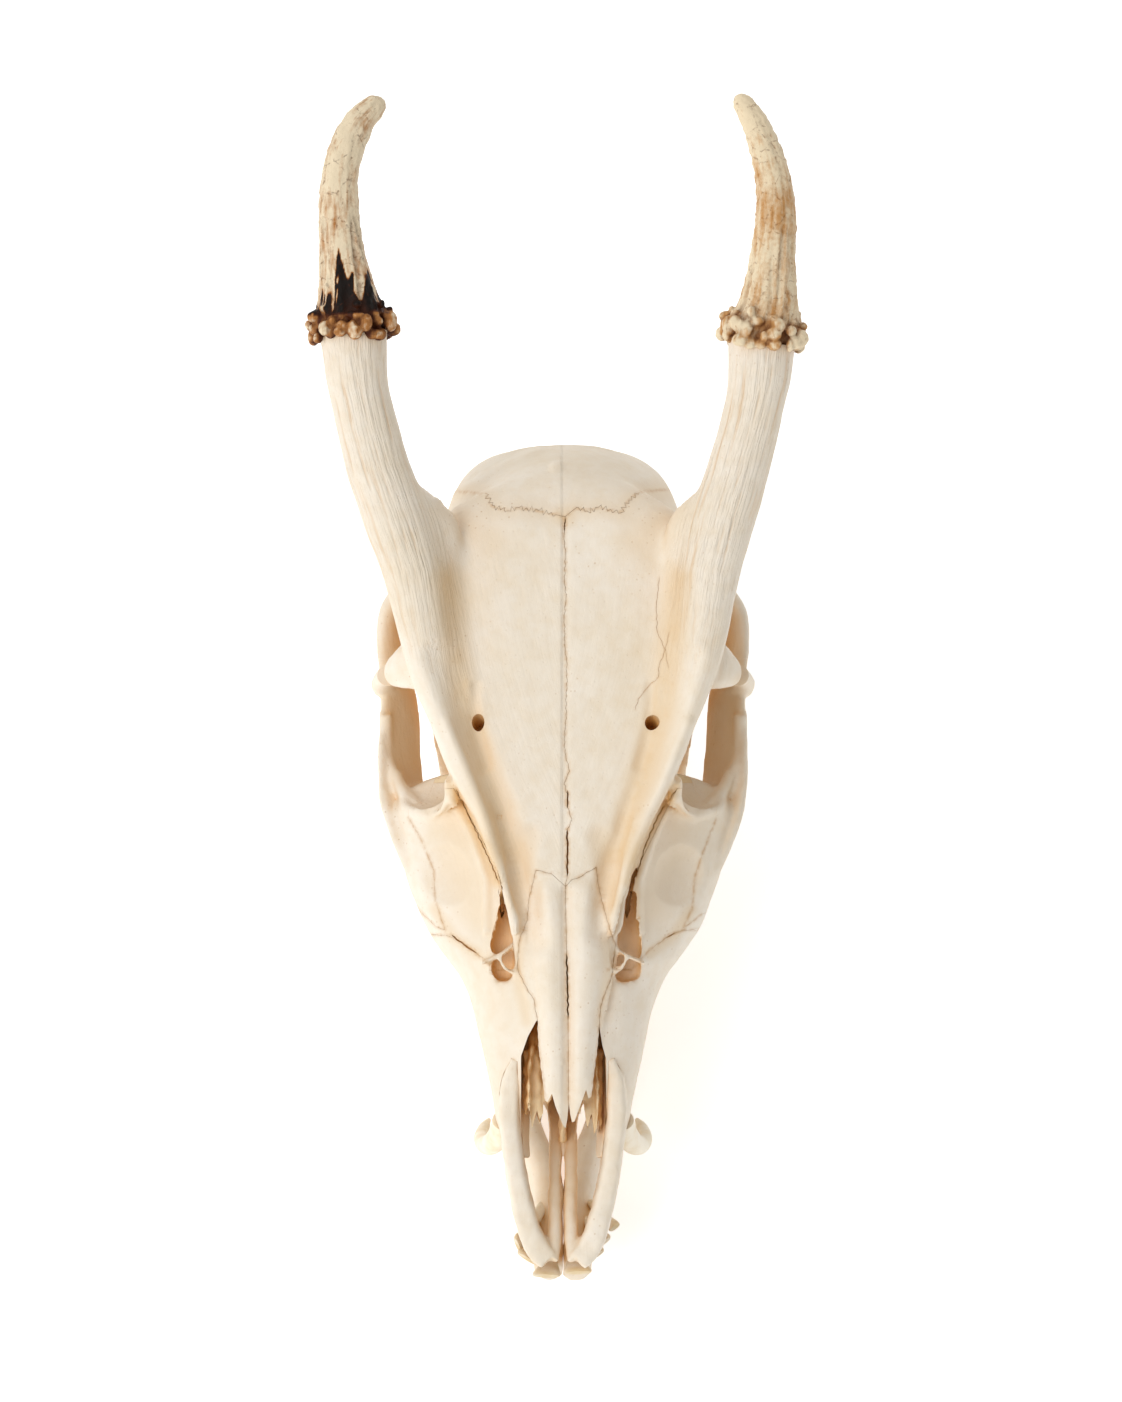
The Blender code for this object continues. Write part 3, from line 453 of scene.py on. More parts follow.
class Carving:
    """A mesh's points and normals, and how far each point moves along its normal, in millimetres."""

    def __init__(self, obj):
        self.obj = obj
        self.room = read_points(obj)
        self.normal = read_points(obj, "normal")
        self.at = face_of(self.room)
        self.rise = self.normal[:, 2] * SLOPE_COS - self.normal[:, 1] * SLOPE_SIN
        self.move = np.zeros(len(self.at))

    def stroke(self, path, width, depth, facing=0.15):
        """Raises (or sinks, below zero) the skin within width of the path, as seen from above.

        Only skin that faces up more than facing takes part.
        """
        path = np.array([tuple(p) for p in path], float)
        seen = self.at[:, :2]
        low, high = path[:, :2].min(0) - width, path[:, :2].max(0) + width
        near = ((seen > low) & (seen < high)).all(1) & (self.rise > facing)
        index = np.flatnonzero(near)
        points = seen[index]
        best = np.full(len(index), 1e9)
        for a, b in zip(path[:, :2], path[1:, :2]):
            along = b - a
            t = np.clip(((points - a) @ along) / max(along @ along, 1e-9), 0, 1)
            best = np.minimum(best, np.hypot(*(points - a - t[:, None] * along).T))
        share = np.clip(1 - (best / width) ** 2, 0, 1) ** 2
        self.move[index] += depth * share

    def ripple(self, size, height, seed):
        """Soft unevenness all over, about size across."""
        self.move += height * waves(self.at, size, seed)

    def done(self):
        """Moves the points, none of them below the floor."""
        points = self.room + self.normal * self.move[:, None] * MM
        points[:, 2] = np.maximum(points[:, 2], 0.0)
        self.obj.data.vertices.foreach_set("co", points.astype(np.float32).reshape(-1))
        self.obj.data.update()
        return self.obj


WAVES = 9


def waves(points, size, seed):
    """Smooth numbers between about -1 and 1 over points in millimetres, the same each run."""
    draw = np.random.default_rng(seed)
    total = np.zeros(len(points))
    for _ in range(WAVES):
        way = draw.normal(size=3)
        way *= 2 * math.pi / (np.linalg.norm(way) * size * draw.uniform(0.7, 1.5))
        total += np.sin(points @ way + draw.uniform(0, 6.28))
    return total / math.sqrt(WAVES)


# Upper skull: solid masses, then hollows, then bars, ridges and plates

def solid_masses():
    """Snout, forehead and braincase, each one form along the face."""
    snout = mass("snout", [
        (22, -12, -22.5, 9.5, 11.2, 11.0),
        (28, -7.5, -24.5, 9.5, 13.2, 12.6),
        (36, -4.0, -28.0, 10.5, 14.6, 13.0),
        (44, -1.5, -31.5, 9.5, 16.4, 13.0),
        (52, -0.8, -35.0, 9.5, 18.4, 14.5),
        (58, -0.5, -37.5, 10.0, 20.6, 17.0),
        (64, -0.5, -40.0, 11.0, 25.2, 19.0),
        (70, -0.5, -43.0, 12.0, 28.8, 20.5),
        (78, -0.5, -46.5, 13.5, 31.8, 21.3),
        (86, -0.5, -50.0, 15.0, 33.8, 21.8),
        (93, -1.0, -52.5, 17.0, 35.0, 21.5),
        (98, -2.0, -53.5, 16.0, 28.0, 19.0),
        (101, -4.0, -52.0, 12.0, 15.0, 13.0),
    ])
    forehead = mass("forehead", [
        (66, -1.0, -8.0, 8.5, 9.0, 8.0),
        (76, -0.2, -9.0, 11.0, 11.8, 10.0),
        (86, 0.0, -9.0, 14.5, 15.6, 13.0),
        (96, 0.0, -9.0, 20.0, 21.6, 17.0),
        (103, 0.0, -9.0, 23.0, 24.6, 19.0),
        (110, 0.0, -9.0, 25.5, 27.2, 21.0),
        (116, 0.0, -9.0, 27.5, 29.6, 23.0),
        (124, 0.0, -10.0, 29.0, 31.4, 25.0),
        (134, -0.2, -11.0, 29.0, 31.8, 25.0),
        (143, -1.2, -12.0, 27.0, 29.6, 24.0),
        (149, -2.6, -13.0, 23.5, 26.0, 22.0),
        (154, -5.4, -14.0, 17.0, 20.5, 18.0),
        (158.5, -9.6, -16.0, 9.0, 12.0, 11.0),
        (161, -13.6, -16.5, 2.0, 3.0, 3.0),
    ], square=0.68)
    braincase = mass("braincase", [
        (98, -2, -43, 12.0, 9.5, 7.0),
        (106, -2, -45, 14.0, 10.0, 7.0),
        (112, -1.5, -47, 18.0, 13.5, 7.5),
        (118, -1, -49, 22.0, 19.5, 9.0),
        (126, -0.5, -52, 24.0, 24.0, 12.0),
        (136, -0.8, -55, 24.0, 25.2, 15.0),
        (146, -2.5, -58, 22.0, 25.0, 17.0),
        (152, -5, -60, 20.5, 24.0, 16.5),
        (157, -9.0, -58, 18.5, 22.0, 15.0),
        (161, -14, -54, 15.0, 19.2, 12.0),
        (164, -20, -48, 10.0, 14.0, 9.0),
        (165.6, -26, -40, 4.5, 7.0, 5.0),
    ], square=0.85)
    return [snout, forehead, braincase]


def skull_base_forms():
    """Condyles, base of the skull, ear bubbles, ear canals, neck spurs and palate wings."""
    forms = [
        sweep("basioccipital", [(0, 118, 44, 6, 5), (0, 132, 46, 6.5, 4.5), (0, 146, 47, 7.5, 4.5),
                                (0, 160, 49, 10, 5)], where=rest),
        sweep("nuchal crest", [(-17, 156, 73.5, 2.4), (-11, 159.2, 79, 2.6), (0, 160.2, 80.5, 2.7),
                               (11, 159.2, 79, 2.6), (17, 156, 73.5, 2.4)], up=(0, 1, 0), where=rest),
    ]
    for _, side in SIDES:
        forms += [
            lump("condyle", rest(side * 8.6, 164.5, 49), (5.2, 6.2, 7.5)),
            lump("ear bubble", rest(side * 13.5, 143, 43), (5.6, 8.5, 7.0)),
            sweep("ear canal", mirrored([
                (13, 146, 50, 4.2), (20, 147, 54, 3.8), (25.5, 148, 57, 3.2),
            ], side), up=(0, 1, 0), where=rest),
            sweep("neck spur", mirrored([
                (15, 156, 56, 4, 5), (17.5, 155, 46, 3, 4), (17.8, 154, 37, 2, 3),
                (17, 153.5, 29.5, 1.2, 1.6),
            ], side), up=(0, 1, 0), where=rest),
            sweep("palate wing", mirrored([
                (9, 96, 33, 1.4, 4), (8.4, 106, 35, 1.4, 5.5), (8, 116, 38, 1.5, 5.5),
                (7, 124, 42, 1.6, 3.5),
            ], side), where=rest),
            sweep("mastoid edge", mirrored([
                (14, 158, 74, 2.2), (21, 154, 66, 2.4), (21, 152, 57, 2.6),
            ], side), up=(0, 1, 0), where=rest),
        ]
    return forms


def arch_stations(side):
    """Cheek arch from the face to its root on the braincase."""
    return mirrored([
        (26.5, 76, -25, 2.6, 5.0),
        (29.4, 83, -27, 2.4, 7.0),
        (31.6, 90, -29.5, 2.1, 8.2),
        (32.9, 97, -32.0, 1.8, 8.4),
        (33.3, 105, -33.0, 1.6, 8.0),
        (33.3, 112, -32.5, 1.6, 7.0),
        (34.2, 119, -30.5, 1.8, 5.2),
        (35.4, 126, -29.8, 1.8, 3.8),
        (34.9, 132, -29.8, 1.9, 3.5),
        (31.5, 136.6, -31.0, 2.3, 3.5),
        (26.0, 138.6, -33.0, 3.2, 4.2),
        (20.0, 139.6, -35.0, 4.2, 5.0),
    ], side)


# Middles of the burrs, in x, s and n
BURR_CENTRES = {"l": (39.5, 185.2, 9.0), "r": (-41.7, 187.2, 9.0)}

# Middles and half sizes of the antler stalks below the burr, on each side
STALK_MIDDLES = {
    "l": [(29.3, 140, 2.2, 6.0, 5.5), (32.0, 151, 3.6, 6.5, 6.0), (34.8, 160, 4.9, 6.2, 6.0),
          (36.9, 168, 6.2, 5.9, 5.9)],
    "r": [(29.9, 140, 2.2, 6.1, 5.5), (33.4, 151, 3.6, 6.6, 6.0), (36.6, 160, 4.9, 6.3, 6.0),
          (38.8, 168, 6.2, 6.1, 5.9)],
}


def ridge_stations(side):
    """Raised edge of the forehead, which grows into the antler's stalk."""
    name = "l" if side > 0 else "r"
    burr = BURR_CENTRES[name]
    stations = mirrored([
        (9.0, 67.5, -1.6, 1.3, 1.3),
        (10.2, 74, -1.0, 1.7, 1.7),
        (12.6, 83, -0.6, 2.0, 2.2),
        (16.2, 93, -0.4, 2.6, 2.8),
        (19.8, 101, -0.2, 3.1, 3.2),
        (23.0, 110, 0.2, 3.6, 3.6),
        (26.0, 120, 0.8, 4.6, 4.4),
        (28.0, 130, 1.4, 5.4, 5.0),
    ] + STALK_MIDDLES[name], side)
    stations += [
        (burr[0] - side * 1.2, burr[1] - 11.0, 7.6, 6.0, 5.9),
        (burr[0] - side * 0.4, burr[1] - 5.0, 8.6, 6.4, 6.3),
        (burr[0] + side * 0.1, burr[1] + 3.0, burr[2] + 0.3, 7.0, 6.9),
    ]
    return stations


def eye_bar_stations(side):
    """Bar behind the eye, from forehead to cheek arch."""
    return mirrored([
        (26.5, 122.5, -2.0, 3.4, 6.0),
        (31.0, 121.0, -5.0, 2.7, 4.8),
        (33.8, 119.8, -10.5, 2.4, 3.0),
        (35.8, 118.8, -18.0, 2.3, 1.9),
        (36.4, 117.4, -25.0, 2.6, 1.8),
        (35.4, 116.0, -31.0, 3.2, 1.8),
    ], side)


def rim_stations(side):
    """Front and lower rim of the eye socket."""
    stations = []
    for degrees in range(118, 300, 20):
        angle = math.radians(degrees)
        s = ORBIT_CENTRE[0] + ORBIT_RADIUS * math.cos(angle)
        n = ORBIT_CENTRE[1] + ORBIT_RADIUS * math.sin(angle)
        x = min(30.3 + 4.5 * math.cos(angle) - 6.6 * math.sin(angle), 35.9)
        stations.append((side * x, s, n, 1.5, 1.5))
    return stations


def nasal_plate():
    """Arched roof of the nose, whose front stands free."""
    return mass("nasal plate", [
        (79, 0.4, -6.0, 5.0, 8.5, 8.0),
        (70, 0.6, -6.0, 6.0, 9.0, 8.5),
        (60, 0.4, -6.0, 6.0, 9.4, 9.0),
        (52, -0.2, -5.5, 5.5, 8.0, 8.0),
        (46, -1.0, -4.9, 4.6, 7.0, 7.0),
        (40, -1.7, -5.0, 4.2, 6.4, 6.4),
        (34, -2.6, -5.3, 3.6, 5.8, 5.8),
        (27, -3.6, -5.5, 2.5, 5.0, 5.0),
    ], square=0.8, centre=(0.4, 1.1))


def first_hollows():
    """Eye sockets, the pit before each eye, and the space behind the cheek."""
    cutters = []
    for _, side in SIDES:
        socket = (side * 35.5, ORBIT_CENTRE[0] + 1.0, ORBIT_CENTRE[1] - 1.5)
        cutters.append([
            lump("socket", socket, (23.5, 14.0, 12.5), face=True),
            lump("tear pit", (side * 34.0, 78.0, 2.0), (17.5, 15.5, 20.0), face=True),
            lump("behind the jaw", (side * 30.0, 109.0, -39.0), (15.0, 12.5, 17.0), face=True),
            lump("cheek waist", (side * 33.0, 50.0, -27.0), (16.0, 17.0, 16.0), face=True),
        ])
    return both_sides(cutters)


# The gap before each eye, drawn from above, as the photograph shows it on either side
TEAR_GAP = {
    "r": [(-12.8, 78.4), (-12.1, 74.2), (-12.9, 69.6), (-14.1, 65.4), (-14.1, 59.4), (-13.0, 57.8),
          (-10.6, 58.0), (-9.6, 60.4), (-9.7, 66.4), (-10.6, 69.6), (-12.2, 77.0)],
    "l": [(14.2, 78.0), (12.7, 74.6), (12.2, 69.6), (11.1, 67.6), (10.8, 62.0), (10.2, 58.4), (12.0, 57.4),
          (15.2, 58.4), (15.5, 62.0), (15.1, 66.4), (14.3, 72.2)],
}
# The slit between the frontal ridge and the crest of the tear bone
TEAR_SLIT = {
    "r": [(-21.4, 96.4), (-18.6, 90.4), (-15.6, 84.2), (-12.9, 78.0)],
    "l": [(22.8, 96.6), (19.0, 91.0), (16.4, 84.8), (14.3, 77.6)],
}


def second_hollows():
    """Nose opening, the gap before each eye, spinal hole and jaw sockets."""
    middle = [
        mass("nose opening", [
            (10, 8, -19.0, 8.0, 8.0, 7.0),
            (24, 8, -21.0, 8.4, 8.4, 6.8),
            (33, 4, -24.0, 8.0, 8.4, 6.4),
            (40, -4.0, -25.0, 6.4, 7.8, 6.0),
            (47, -5.5, -25.0, 5.4, 7.0, 5.6),
            (54, -7.5, -24.0, 3.6, 5.2, 4.2),
        ], square=0.7),
        sweep("spinal hole", [(0, 151, 57, 7.6, 7.0), (0, 175, 56, 8.8, 8.2)], where=rest, sides=28),
        mass("mouth roof", [
            (30, -24.8, -40, 8.0, 8.0, 8.0),
            (60, -37.0, -60, 9.0, 9.5, 9.5),
            (92, -50.5, -75, 10.0, 11.0, 11.0),
        ], square=0.6),
    ]
    cutters = []
    for name, side in SIDES:
        cutters.append([
            lump("jaw hinge", rest(side * HINGE[0], HINGE[1], HINGE[2]), HINGE_SIZE, grow=0.5),
            block(TEAR_GAP[name], -10.5, 8.0, place),
            lump("palate fissure", (side * 5.1, 25.0, -22.0), (2.5, 9.5, 7.0), face=True),
        ])
    return middle + both_sides(cutters)


def tear_gap_plates(side):
    """Paper-thin bone that crosses the gap before the eye."""
    return [
        sweep("plate", mirrored([(9.0, 66.0, -7.5, 0.5, 1.6), (12.0, 63.5, -6.0, 0.45, 2.0),
                                 (16.4, 61.5, -6.5, 0.5, 1.8)], side), sides=10),
        sweep("plate", mirrored([(9.0, 59.5, -4.2, 0.5, 0.9), (11.6, 60.6, -3.8, 0.4, 0.7),
                                 (13.0, 63.5, -5.0, 0.4, 0.6)], side), sides=10),
    ]


def build_cranium():
    """The upper skull in one skin, before its bones are parted."""
    whole = fused("cranium", solid_masses() + skull_base_forms(), COARSE_VOXEL, 8)
    for cutter in first_hollows():
        cut(whole, cutter)
    for cutter in second_hollows():
        cut(whole, cutter)
    additions = [whole, nasal_plate()]
    for _, side in SIDES:
        additions += [
            sweep("arch", arch_stations(side), up=(side * 0.5, 0, 0.86)),
            sweep("ridge", ridge_stations(side), sides=28),
            sweep("eye bar", eye_bar_stations(side), up=(0, 1, 0)),
            sweep("eye rim", rim_stations(side), up=(1, 0, 0), sides=14),
            sweep("brow web", mirrored([(15.5, 100, -2.8, 3.0, 1.6), (19.5, 112, -2.3, 4.0, 2.4),
                                        (23.4, 126, -2.0, 5.0, 3.0), (25.8, 138, -1.9, 5.2, 3.2),
                                        (25.8, 147, -1.2, 5.4, 3.4), (28.4, 151.4, 0.6, 4.8, 3.4),
                                        (32.0, 156, 2.8, 3.0, 3.0)], side)),
        ] + tear_gap_plates(side)
    whole = fused("cranium", additions, FINE_VOXEL, 4)
    return largest_only(whole)


# Lines drawn from above, in x and s, from the photograph: the ridges, cracks and sutures
RIDGE_LINE = {
    "r": [(-28.4, 122.8), (-22.8, 109.6), (-19.4, 101.4), (-16.0, 93.0), (-13.6, 84.0), (-11.4, 77.0),
          (-9.4, 70.2), (-8.8, 66.4)],
    "l": [(28.2, 122.2), (24.6, 109.6), (20.6, 99.6), (15.4, 84.8), (12.6, 78.2), (10.8, 68.2)],
}
FOREHEAD_CRACKS = [
    [(19.2, 138.8), (18.6, 132.8), (18.8, 127.8), (20.4, 124.2), (19.2, 121.2), (19.0, 118.8), (16.8, 116.6),
     (15.0, 114.4), (14.4, 112.2)],
    [(20.4, 124.2), (21.2, 127.8)],
    [(20.4, 124.2), (21.0, 120.2)],
]
# Holes over the eyes: x and s, and half sizes across and along
BROW_HOLES = [(-17.0, 110.0, 1.3, 1.6), (17.8, 109.8, 1.45, 1.45)]


def ease_creases(whole, lines, width, rounds):
    """Smooths the skin near the lines only, as filing out an inner corner."""
    work = Carving(whole)
    for line in lines:
        work.stroke(line, width, 1.0, facing=-0.3)
    group = whole.vertex_groups.new(name="crease")
    strength = np.clip(work.move, 0, 1)
    for step in range(1, 11):
        chosen = np.flatnonzero(np.round(strength * 10) == step)
        group.add(chosen.tolist(), step / 10, "REPLACE")
    apply(whole, "SMOOTH", factor=0.5, iterations=rounds, vertex_group="crease")
    whole.vertex_groups.clear()


def carve_cranium(whole):
    """Troughs, ridges and soft unevenness of the upper skull."""
    creases = []
    for _, side in SIDES:
        creases.append([(side * 13, 98), (side * 17.5, 110), (side * 20.5, 122), (side * 22.5, 134),
                        (side * 24.5, 146), (side * 28, 154)])
        creases.append([(side * 10, 157), (side * 20, 156), (side * 26, 153)])
    creases.append([(-10, 157), (10, 157)])
    ease_creases(whole, creases, 8.0, 130)
    work = Carving(whole)
    for name, side in SIDES:
        ridge = RIDGE_LINE[name]
        trough = [(x - side * 3.4, s) for x, s in ridge]
        work.stroke(smooth_line(trough), 4.2, -1.1)
        work.stroke(smooth_line([(x + side * 0.2, s) for x, s in ridge[1:]]), 1.7, 0.55)
        work.stroke([(side * 24.5, 88), (side * 21, 79), (side * 18.5, 70)], 9.5, -1.4, facing=-0.6)
        work.stroke([(side * 22, 95), (side * 18.0, 86), (side * 15.6, 78.4), (side * 15.9, 68)], 1.5, 0.9)
        work.stroke([(side * 17.4, 117), (side * 17.4, 110), (side * 15.0, 101)], 1.6, -0.45)
        work.stroke([(side * 12, 55), (side * 13.5, 44), (side * 12.2, 36)], 4.0, 0.5)
        roof = [(0.8 + side * 4.0, 76), (1 + side * 4.0, 62), (1 + side * 3.2, 50), (1 + side * 2.6, 36)]
        work.stroke(roof, 3.2, 0.75)
        wall = [(0.8 + side * 8.6, 68), (1 + side * 8.4, 60), (1 + side * 6.6, 50), (1 + side * 5.6, 40)]
        work.stroke(wall, 2.4, -0.55)
        work.stroke([(side * 7.2, 87), (side * 8.6, 81), (side * 10.2, 74)], 3.4, -0.55)
        work.stroke([(side * 33.6, 99), (side * 31.5, 92.5), (side * 27, 90.5), (side * 23, 94)], 1.6, 0.5)
        work.stroke([(side * 10, 150), (side * 20, 150)], 7, 0.4)
    work.stroke([(0.6, 76), (1.0, 60), (1.2, 40), (1.2, 28)], 1.6, -0.7)
    work.stroke([(-25, 154), (-14, 160.4), (-4.6, 165)], 1.3, 0.35)
    work.stroke([(-1.6, 161), (-1.0, 161.2)], 1.6, 0.5)
    work.stroke([(0.5, 150), (0.4, 130), (0.5, 100), (0.6, 80)], 1.2, -0.18)
    work.ripple(11, 0.07, 3)
    work.ripple(3.2, 0.02, 4)
    work.done()
    return whole


def crack(line, width, depth, skin, seed=7):
    """A thin jagged wedge to cut along a line drawn from above, as deep below the skin as it says."""
    line = jagged(line, 0.9, 0.14, seed)
    down = (place(0, 0, -1) - place(0, 0, 0)).normalized()
    left, right = [], []
    for i, here in enumerate(line):
        before, after = line[max(i - 1, 0)], line[min(i + 1, len(line) - 1)]
        length = math.hypot(after[0] - before[0], after[1] - before[1])
        out = (-(after[1] - before[1]) / length, (after[0] - before[0]) / length)
        half = width / 2 * (0.25 if i in (0, len(line) - 1) else 1)
        hit, spot, _, _ = skin.ray_cast(place(here[0], here[1], ABOVE_ALL), down)
        level = face_of(np.array([spot]))[0][2] if hit else -20.0
        left.append((here[0] + out[0] * half, here[1] + out[1] * half, level))
        right.append((here[0] - out[0] * half, here[1] - out[1] * half, level))
    outline = left + right[::-1]
    return draw_out("crack", [[place(x, s, level - depth) for x, s, level in outline],
                              [place(x, s, level + 4.0) for x, s, level in outline]])


# Sutures, drawn from above in x and s for each side as the photograph shows them
MIDLINE = [(0.4, 150.8), (0.3, 148.0), (0.2, 147.0), (0.5, 143.4), (0.3, 138.0), (0.6, 134.4), (0.2, 130.2),
           (0.4, 127.4), (0.3, 125.2), (0.7, 122.0), (0.8, 119.6), (0.6, 111.2), (0.2, 105.0), (0.6, 103.0),
           (1.3, 100.0), (0.2, 97.6), (0.9, 95.4), (0.8, 93.0), (1.8, 90.4), (0.7, 87.8), (0.9, 84.8),
           (0.8, 79.2), (0.5, 77.0)]
NASAL_MIDLINE = [(0.5, 77.0), (0.6, 70.0), (0.8, 60.0), (1.0, 50.0), (1.1, 40.0), (1.15, 33.6)]
CORONAL = {
    "r": [(0.4, 150.8), (-1.4, 151.2), (-4.8, 152.0), (-8.8, 152.6), (-11.0, 152.0), (-14.2, 153.0),
          (-15.6, 155.6), (-20.8, 156.4), (-24.6, 157.2), (-28.0, 205.0)],
    "l": [(0.4, 150.8), (2.6, 152.6), (4.8, 152.0), (7.0, 152.6), (11.6, 151.6), (13.2, 154.2),
          (15.4, 156.0), (19.0, 156.6), (24.6, 157.2), (28.0, 205.0)],
}
NASAL_OUTER = {
    "r": [(-2.4, 79.6), (-5.4, 80.2), (-6.8, 74.2), (-7.1, 70.2), (-8.6, 66.4), (-9.0, 63.5), (-9.0, 60.4),
          (-7.8, 57.6), (-5.8, 54.4), (-5.1, 50.4), (-5.0, 46.8), (-4.8, 44.2), (-4.0, 37.8), (-3.6, 34.2)],
    "l": [(1.8, 78.4), (2.8, 78.6), (6.6, 80.8), (7.1, 77.0), (8.2, 72.2), (9.6, 67.6), (10.5, 65.4),
          (9.6, 58.6), (8.4, 55.6), (7.4, 52.8), (7.0, 45.4), (6.2, 39.2), (5.7, 35.0)],
}
NASAL_TIP = {
    "r": [(-3.1, 33.9), (-2.2, 35.6), (-1.5, 33.0), (0.0, 29.2), (0.5, 28.6), (0.85, 30.4)],
    "l": [(5.1, 34.6), (4.6, 36.4), (3.6, 33.6), (2.3, 30.0), (1.8, 29.8), (1.45, 31.4)],
}
FRONTAL_OUTER = {
    "r": [(-9.3, 60.4), (-10.7, 69.6), (-12.3, 77.0), (-13.3, 81.0), (-21.8, 96.6), (-60, 96.6)],
    "l": [(10.6, 60.4), (12.2, 69.6), (13.0, 75.0), (14.6, 80.0), (22.8, 96.6), (60, 96.6)],
}
JUGAL_LINE = {
    "r": [(-31.2, 90.4), (-28.4, 85.8), (-26, 79.8), (-25.8, 74.2), (-23.8, 68), (-25.6, 68.6),
          (-29.6, 72.2), (-50, 74), (-50, 122.5), (-26, 122.5), (-26, 98), (-28.6, 93.6)],
    "l": [(30.8, 90.0), (28.2, 83.6), (26.6, 78.6), (26.0, 72.2), (24.2, 68.4), (25.8, 69.4), (28.0, 71.0),
          (50, 74), (50, 122.5), (26, 122.5), (26, 98), (28.6, 93.6)],
}
LACRIMAL_LINE = {
    "r": [(-40, 66.8), (-23.6, 66.9), (-21.6, 66.4), (-17.4, 63.4), (-13.2, 60.0), (-9, 60.4), (-9, 97.4),
          (-40, 97.4)],
    "l": [(40, 67.6), (24.2, 67.9), (21.6, 67.0), (17.0, 63.8), (13.8, 60.0), (9, 60.4), (9, 97.4),
          (40, 97.4)],
}
# The roof of the braincase, drawn from the side in s and n
PARIETAL_LINE = [(121, 10), (121, -23), (140, -27), (157, -29), (163, -27.5), (172, -26), (172, 10)]


def nasal_outline(name):
    outer = jagged(NASAL_OUTER[name], 1.0, 0.12, 11)
    middle = [(x + HALF_SUTURE * (name == "l"), s) for x, s in NASAL_MIDLINE]
    return outer + NASAL_TIP[name] + middle[::-1]


def frontal_outline(name, side):
    middle = [(x + HALF_SUTURE * (side > 0), s) for x, s in jagged(MIDLINE, 0.8, 0.16, 23)]
    crown = jagged(CORONAL[name][1:9], 0.5, 0.7, 31 + side)
    notch = [(x - side * 0.35, s - 0.35) for x, s in NASAL_OUTER[name] if s > 65]
    beyond = [(side * 28, 205), (side * 60, 205)]
    return crown + beyond + FRONTAL_OUTER[name][::-1] + notch[::-1] + middle[::-1]


# Open places between the bones, drawn from above: a line, its width, and how deep it goes
OPEN_SEAMS = [
    ([(0.7, 63.5), (0.9, 57), (1.0, 50.5)], 0.32, 1.8),
    ([(0.9, 96.2), (0.9, 94.4), (0.8, 92.6)], 0.3, 1.0),
    ([(0.8, 88.4), (0.9, 84.8), (0.8, 79.0)], 0.36, 1.2),
    ([(0.4, 150.6), (0.3, 147.6)], 0.22, 0.8),
    ([(-13.5, 80.6), (-12.6, 77.4), (-12.2, 74.0), (-12.3, 70.5)], 0.9, 1.4),
    ([(14.7, 80.6), (13.9, 77.6), (13.2, 74.4), (12.8, 70.5)], 0.9, 1.4),
    (TEAR_SLIT["r"], 0.18, 0.7),
    (TEAR_SLIT["l"], 0.18, 0.7),
    ([(-22.4, 66.9), (-19.8, 65.0), (-17.2, 63.4)], 0.3, 0.8),
    ([(22.6, 67.4), (20.6, 66.4)], 0.24, 0.6),
]
# The edge of the nose opening below the nasal bones, drawn from above
NOSE_MOUTH = [(-8.4, 20), (8.8, 20), (8.6, 42.5), (7.9, 45), (7.1, 50), (6, 51), (-4.4, 51), (-5.4, 50),
              (-7, 47), (-8.4, 43)]


def build_upper_bones():
    """Parts the upper skull along its sutures, and returns the bones by name."""
    whole = carve_cranium(build_cranium())
    openings = [crack(line, width, depth, whole) for line, width, depth in OPEN_SEAMS]
    openings.append(crack(FOREHEAD_CRACKS[0], 0.07, 0.25, whole))
    for x, s, across, along in BROW_HOLES:
        turn = math.copysign(1, x)
        ends = [(x, s, 6.0), (x, s, 0.0), (x - turn * 0.8, s - 2.6, -6.0)]
        openings.append(sweep("brow hole", [end + (across, along) for end in ends], up=(0, 1, 0), sides=18))
    cut(whole, joined("openings", openings))
    for line in FOREHEAD_CRACKS[1:]:
        cut(whole, crack(line, 0.05, 0.2, whole))
    bones = {}
    for name, side in SIDES:
        bones["nasal_" + name] = taken(whole, "nasal", nasal_outline(name), -5.8, 12, place, SUTURE)
    cut(whole, block(NOSE_MOUTH, -12.0, 9.0, place))
    for name, side in SIDES:
        outline = frontal_outline(name, side)
        bones["frontal_" + name] = taken(whole, "frontal", outline, -9.0, 20, place, SUTURE)
    # Bones with slanted walls: outline, how many of its points lie on the suture, its jags' depth and seed
    slanted_bones = (("jugal", JUGAL_LINE, 7, 0.1, 5), ("lacrimal", LACRIMAL_LINE, 6, 0.12, 6))
    for bone, drawn, teeth, depth, seed in slanted_bones:
        lines = {name: jagged(line[:teeth], 1.1, depth, seed) + line[teeth:] for name, line in drawn.items()}
        bones[bone + "_l"], bones[bone + "_r"] = taken_slanted(whole, bone, lines)
    bones["parietals"] = taken(whole, "parietals", PARIETAL_LINE, -30, 30, from_side_of_face(1))
    edge = [(151.5, 105), (150.0, 86), (152.6, 76), (150.6, 66), (149.6, 56), (151.8, 48), (150.4, 38),
            (152, 15)]
    occiput = jagged(edge, 1.2, 0.25, 47) + [(190, 15), (190, 105)]
    bones["occipital"] = taken(whole, "occipital", occiput, -40, 40, from_side(1))
    edge = [(124, 100), (121.5, 80), (118.6, 71), (117.6, 62), (119.6, 54), (118.2, 42), (119, 20)]
    temple = jagged(edge, 1.2, 0.25, 48) + [(160, 20), (160, 100)]
    bones["temporal_l"], bones["temporal_r"] = taken_pair(whole, "temporal", temple, 10.5, 60, from_side)
    cut(whole, joined("bars", [premaxilla_bar(side, grow=0.02) for _, side in SIDES]))
    face = [(5, 12), (5, -75), (96, -75), (96, 12)]
    for name, side in SIDES:
        inner = HALF_SUTURE if side > 0 else -2.0
        bones["maxilla_" + name] = taken(whole, "maxilla", face, inner, 60, from_side_of_face(side))
    bones["sphenoid"] = whole
    return bones


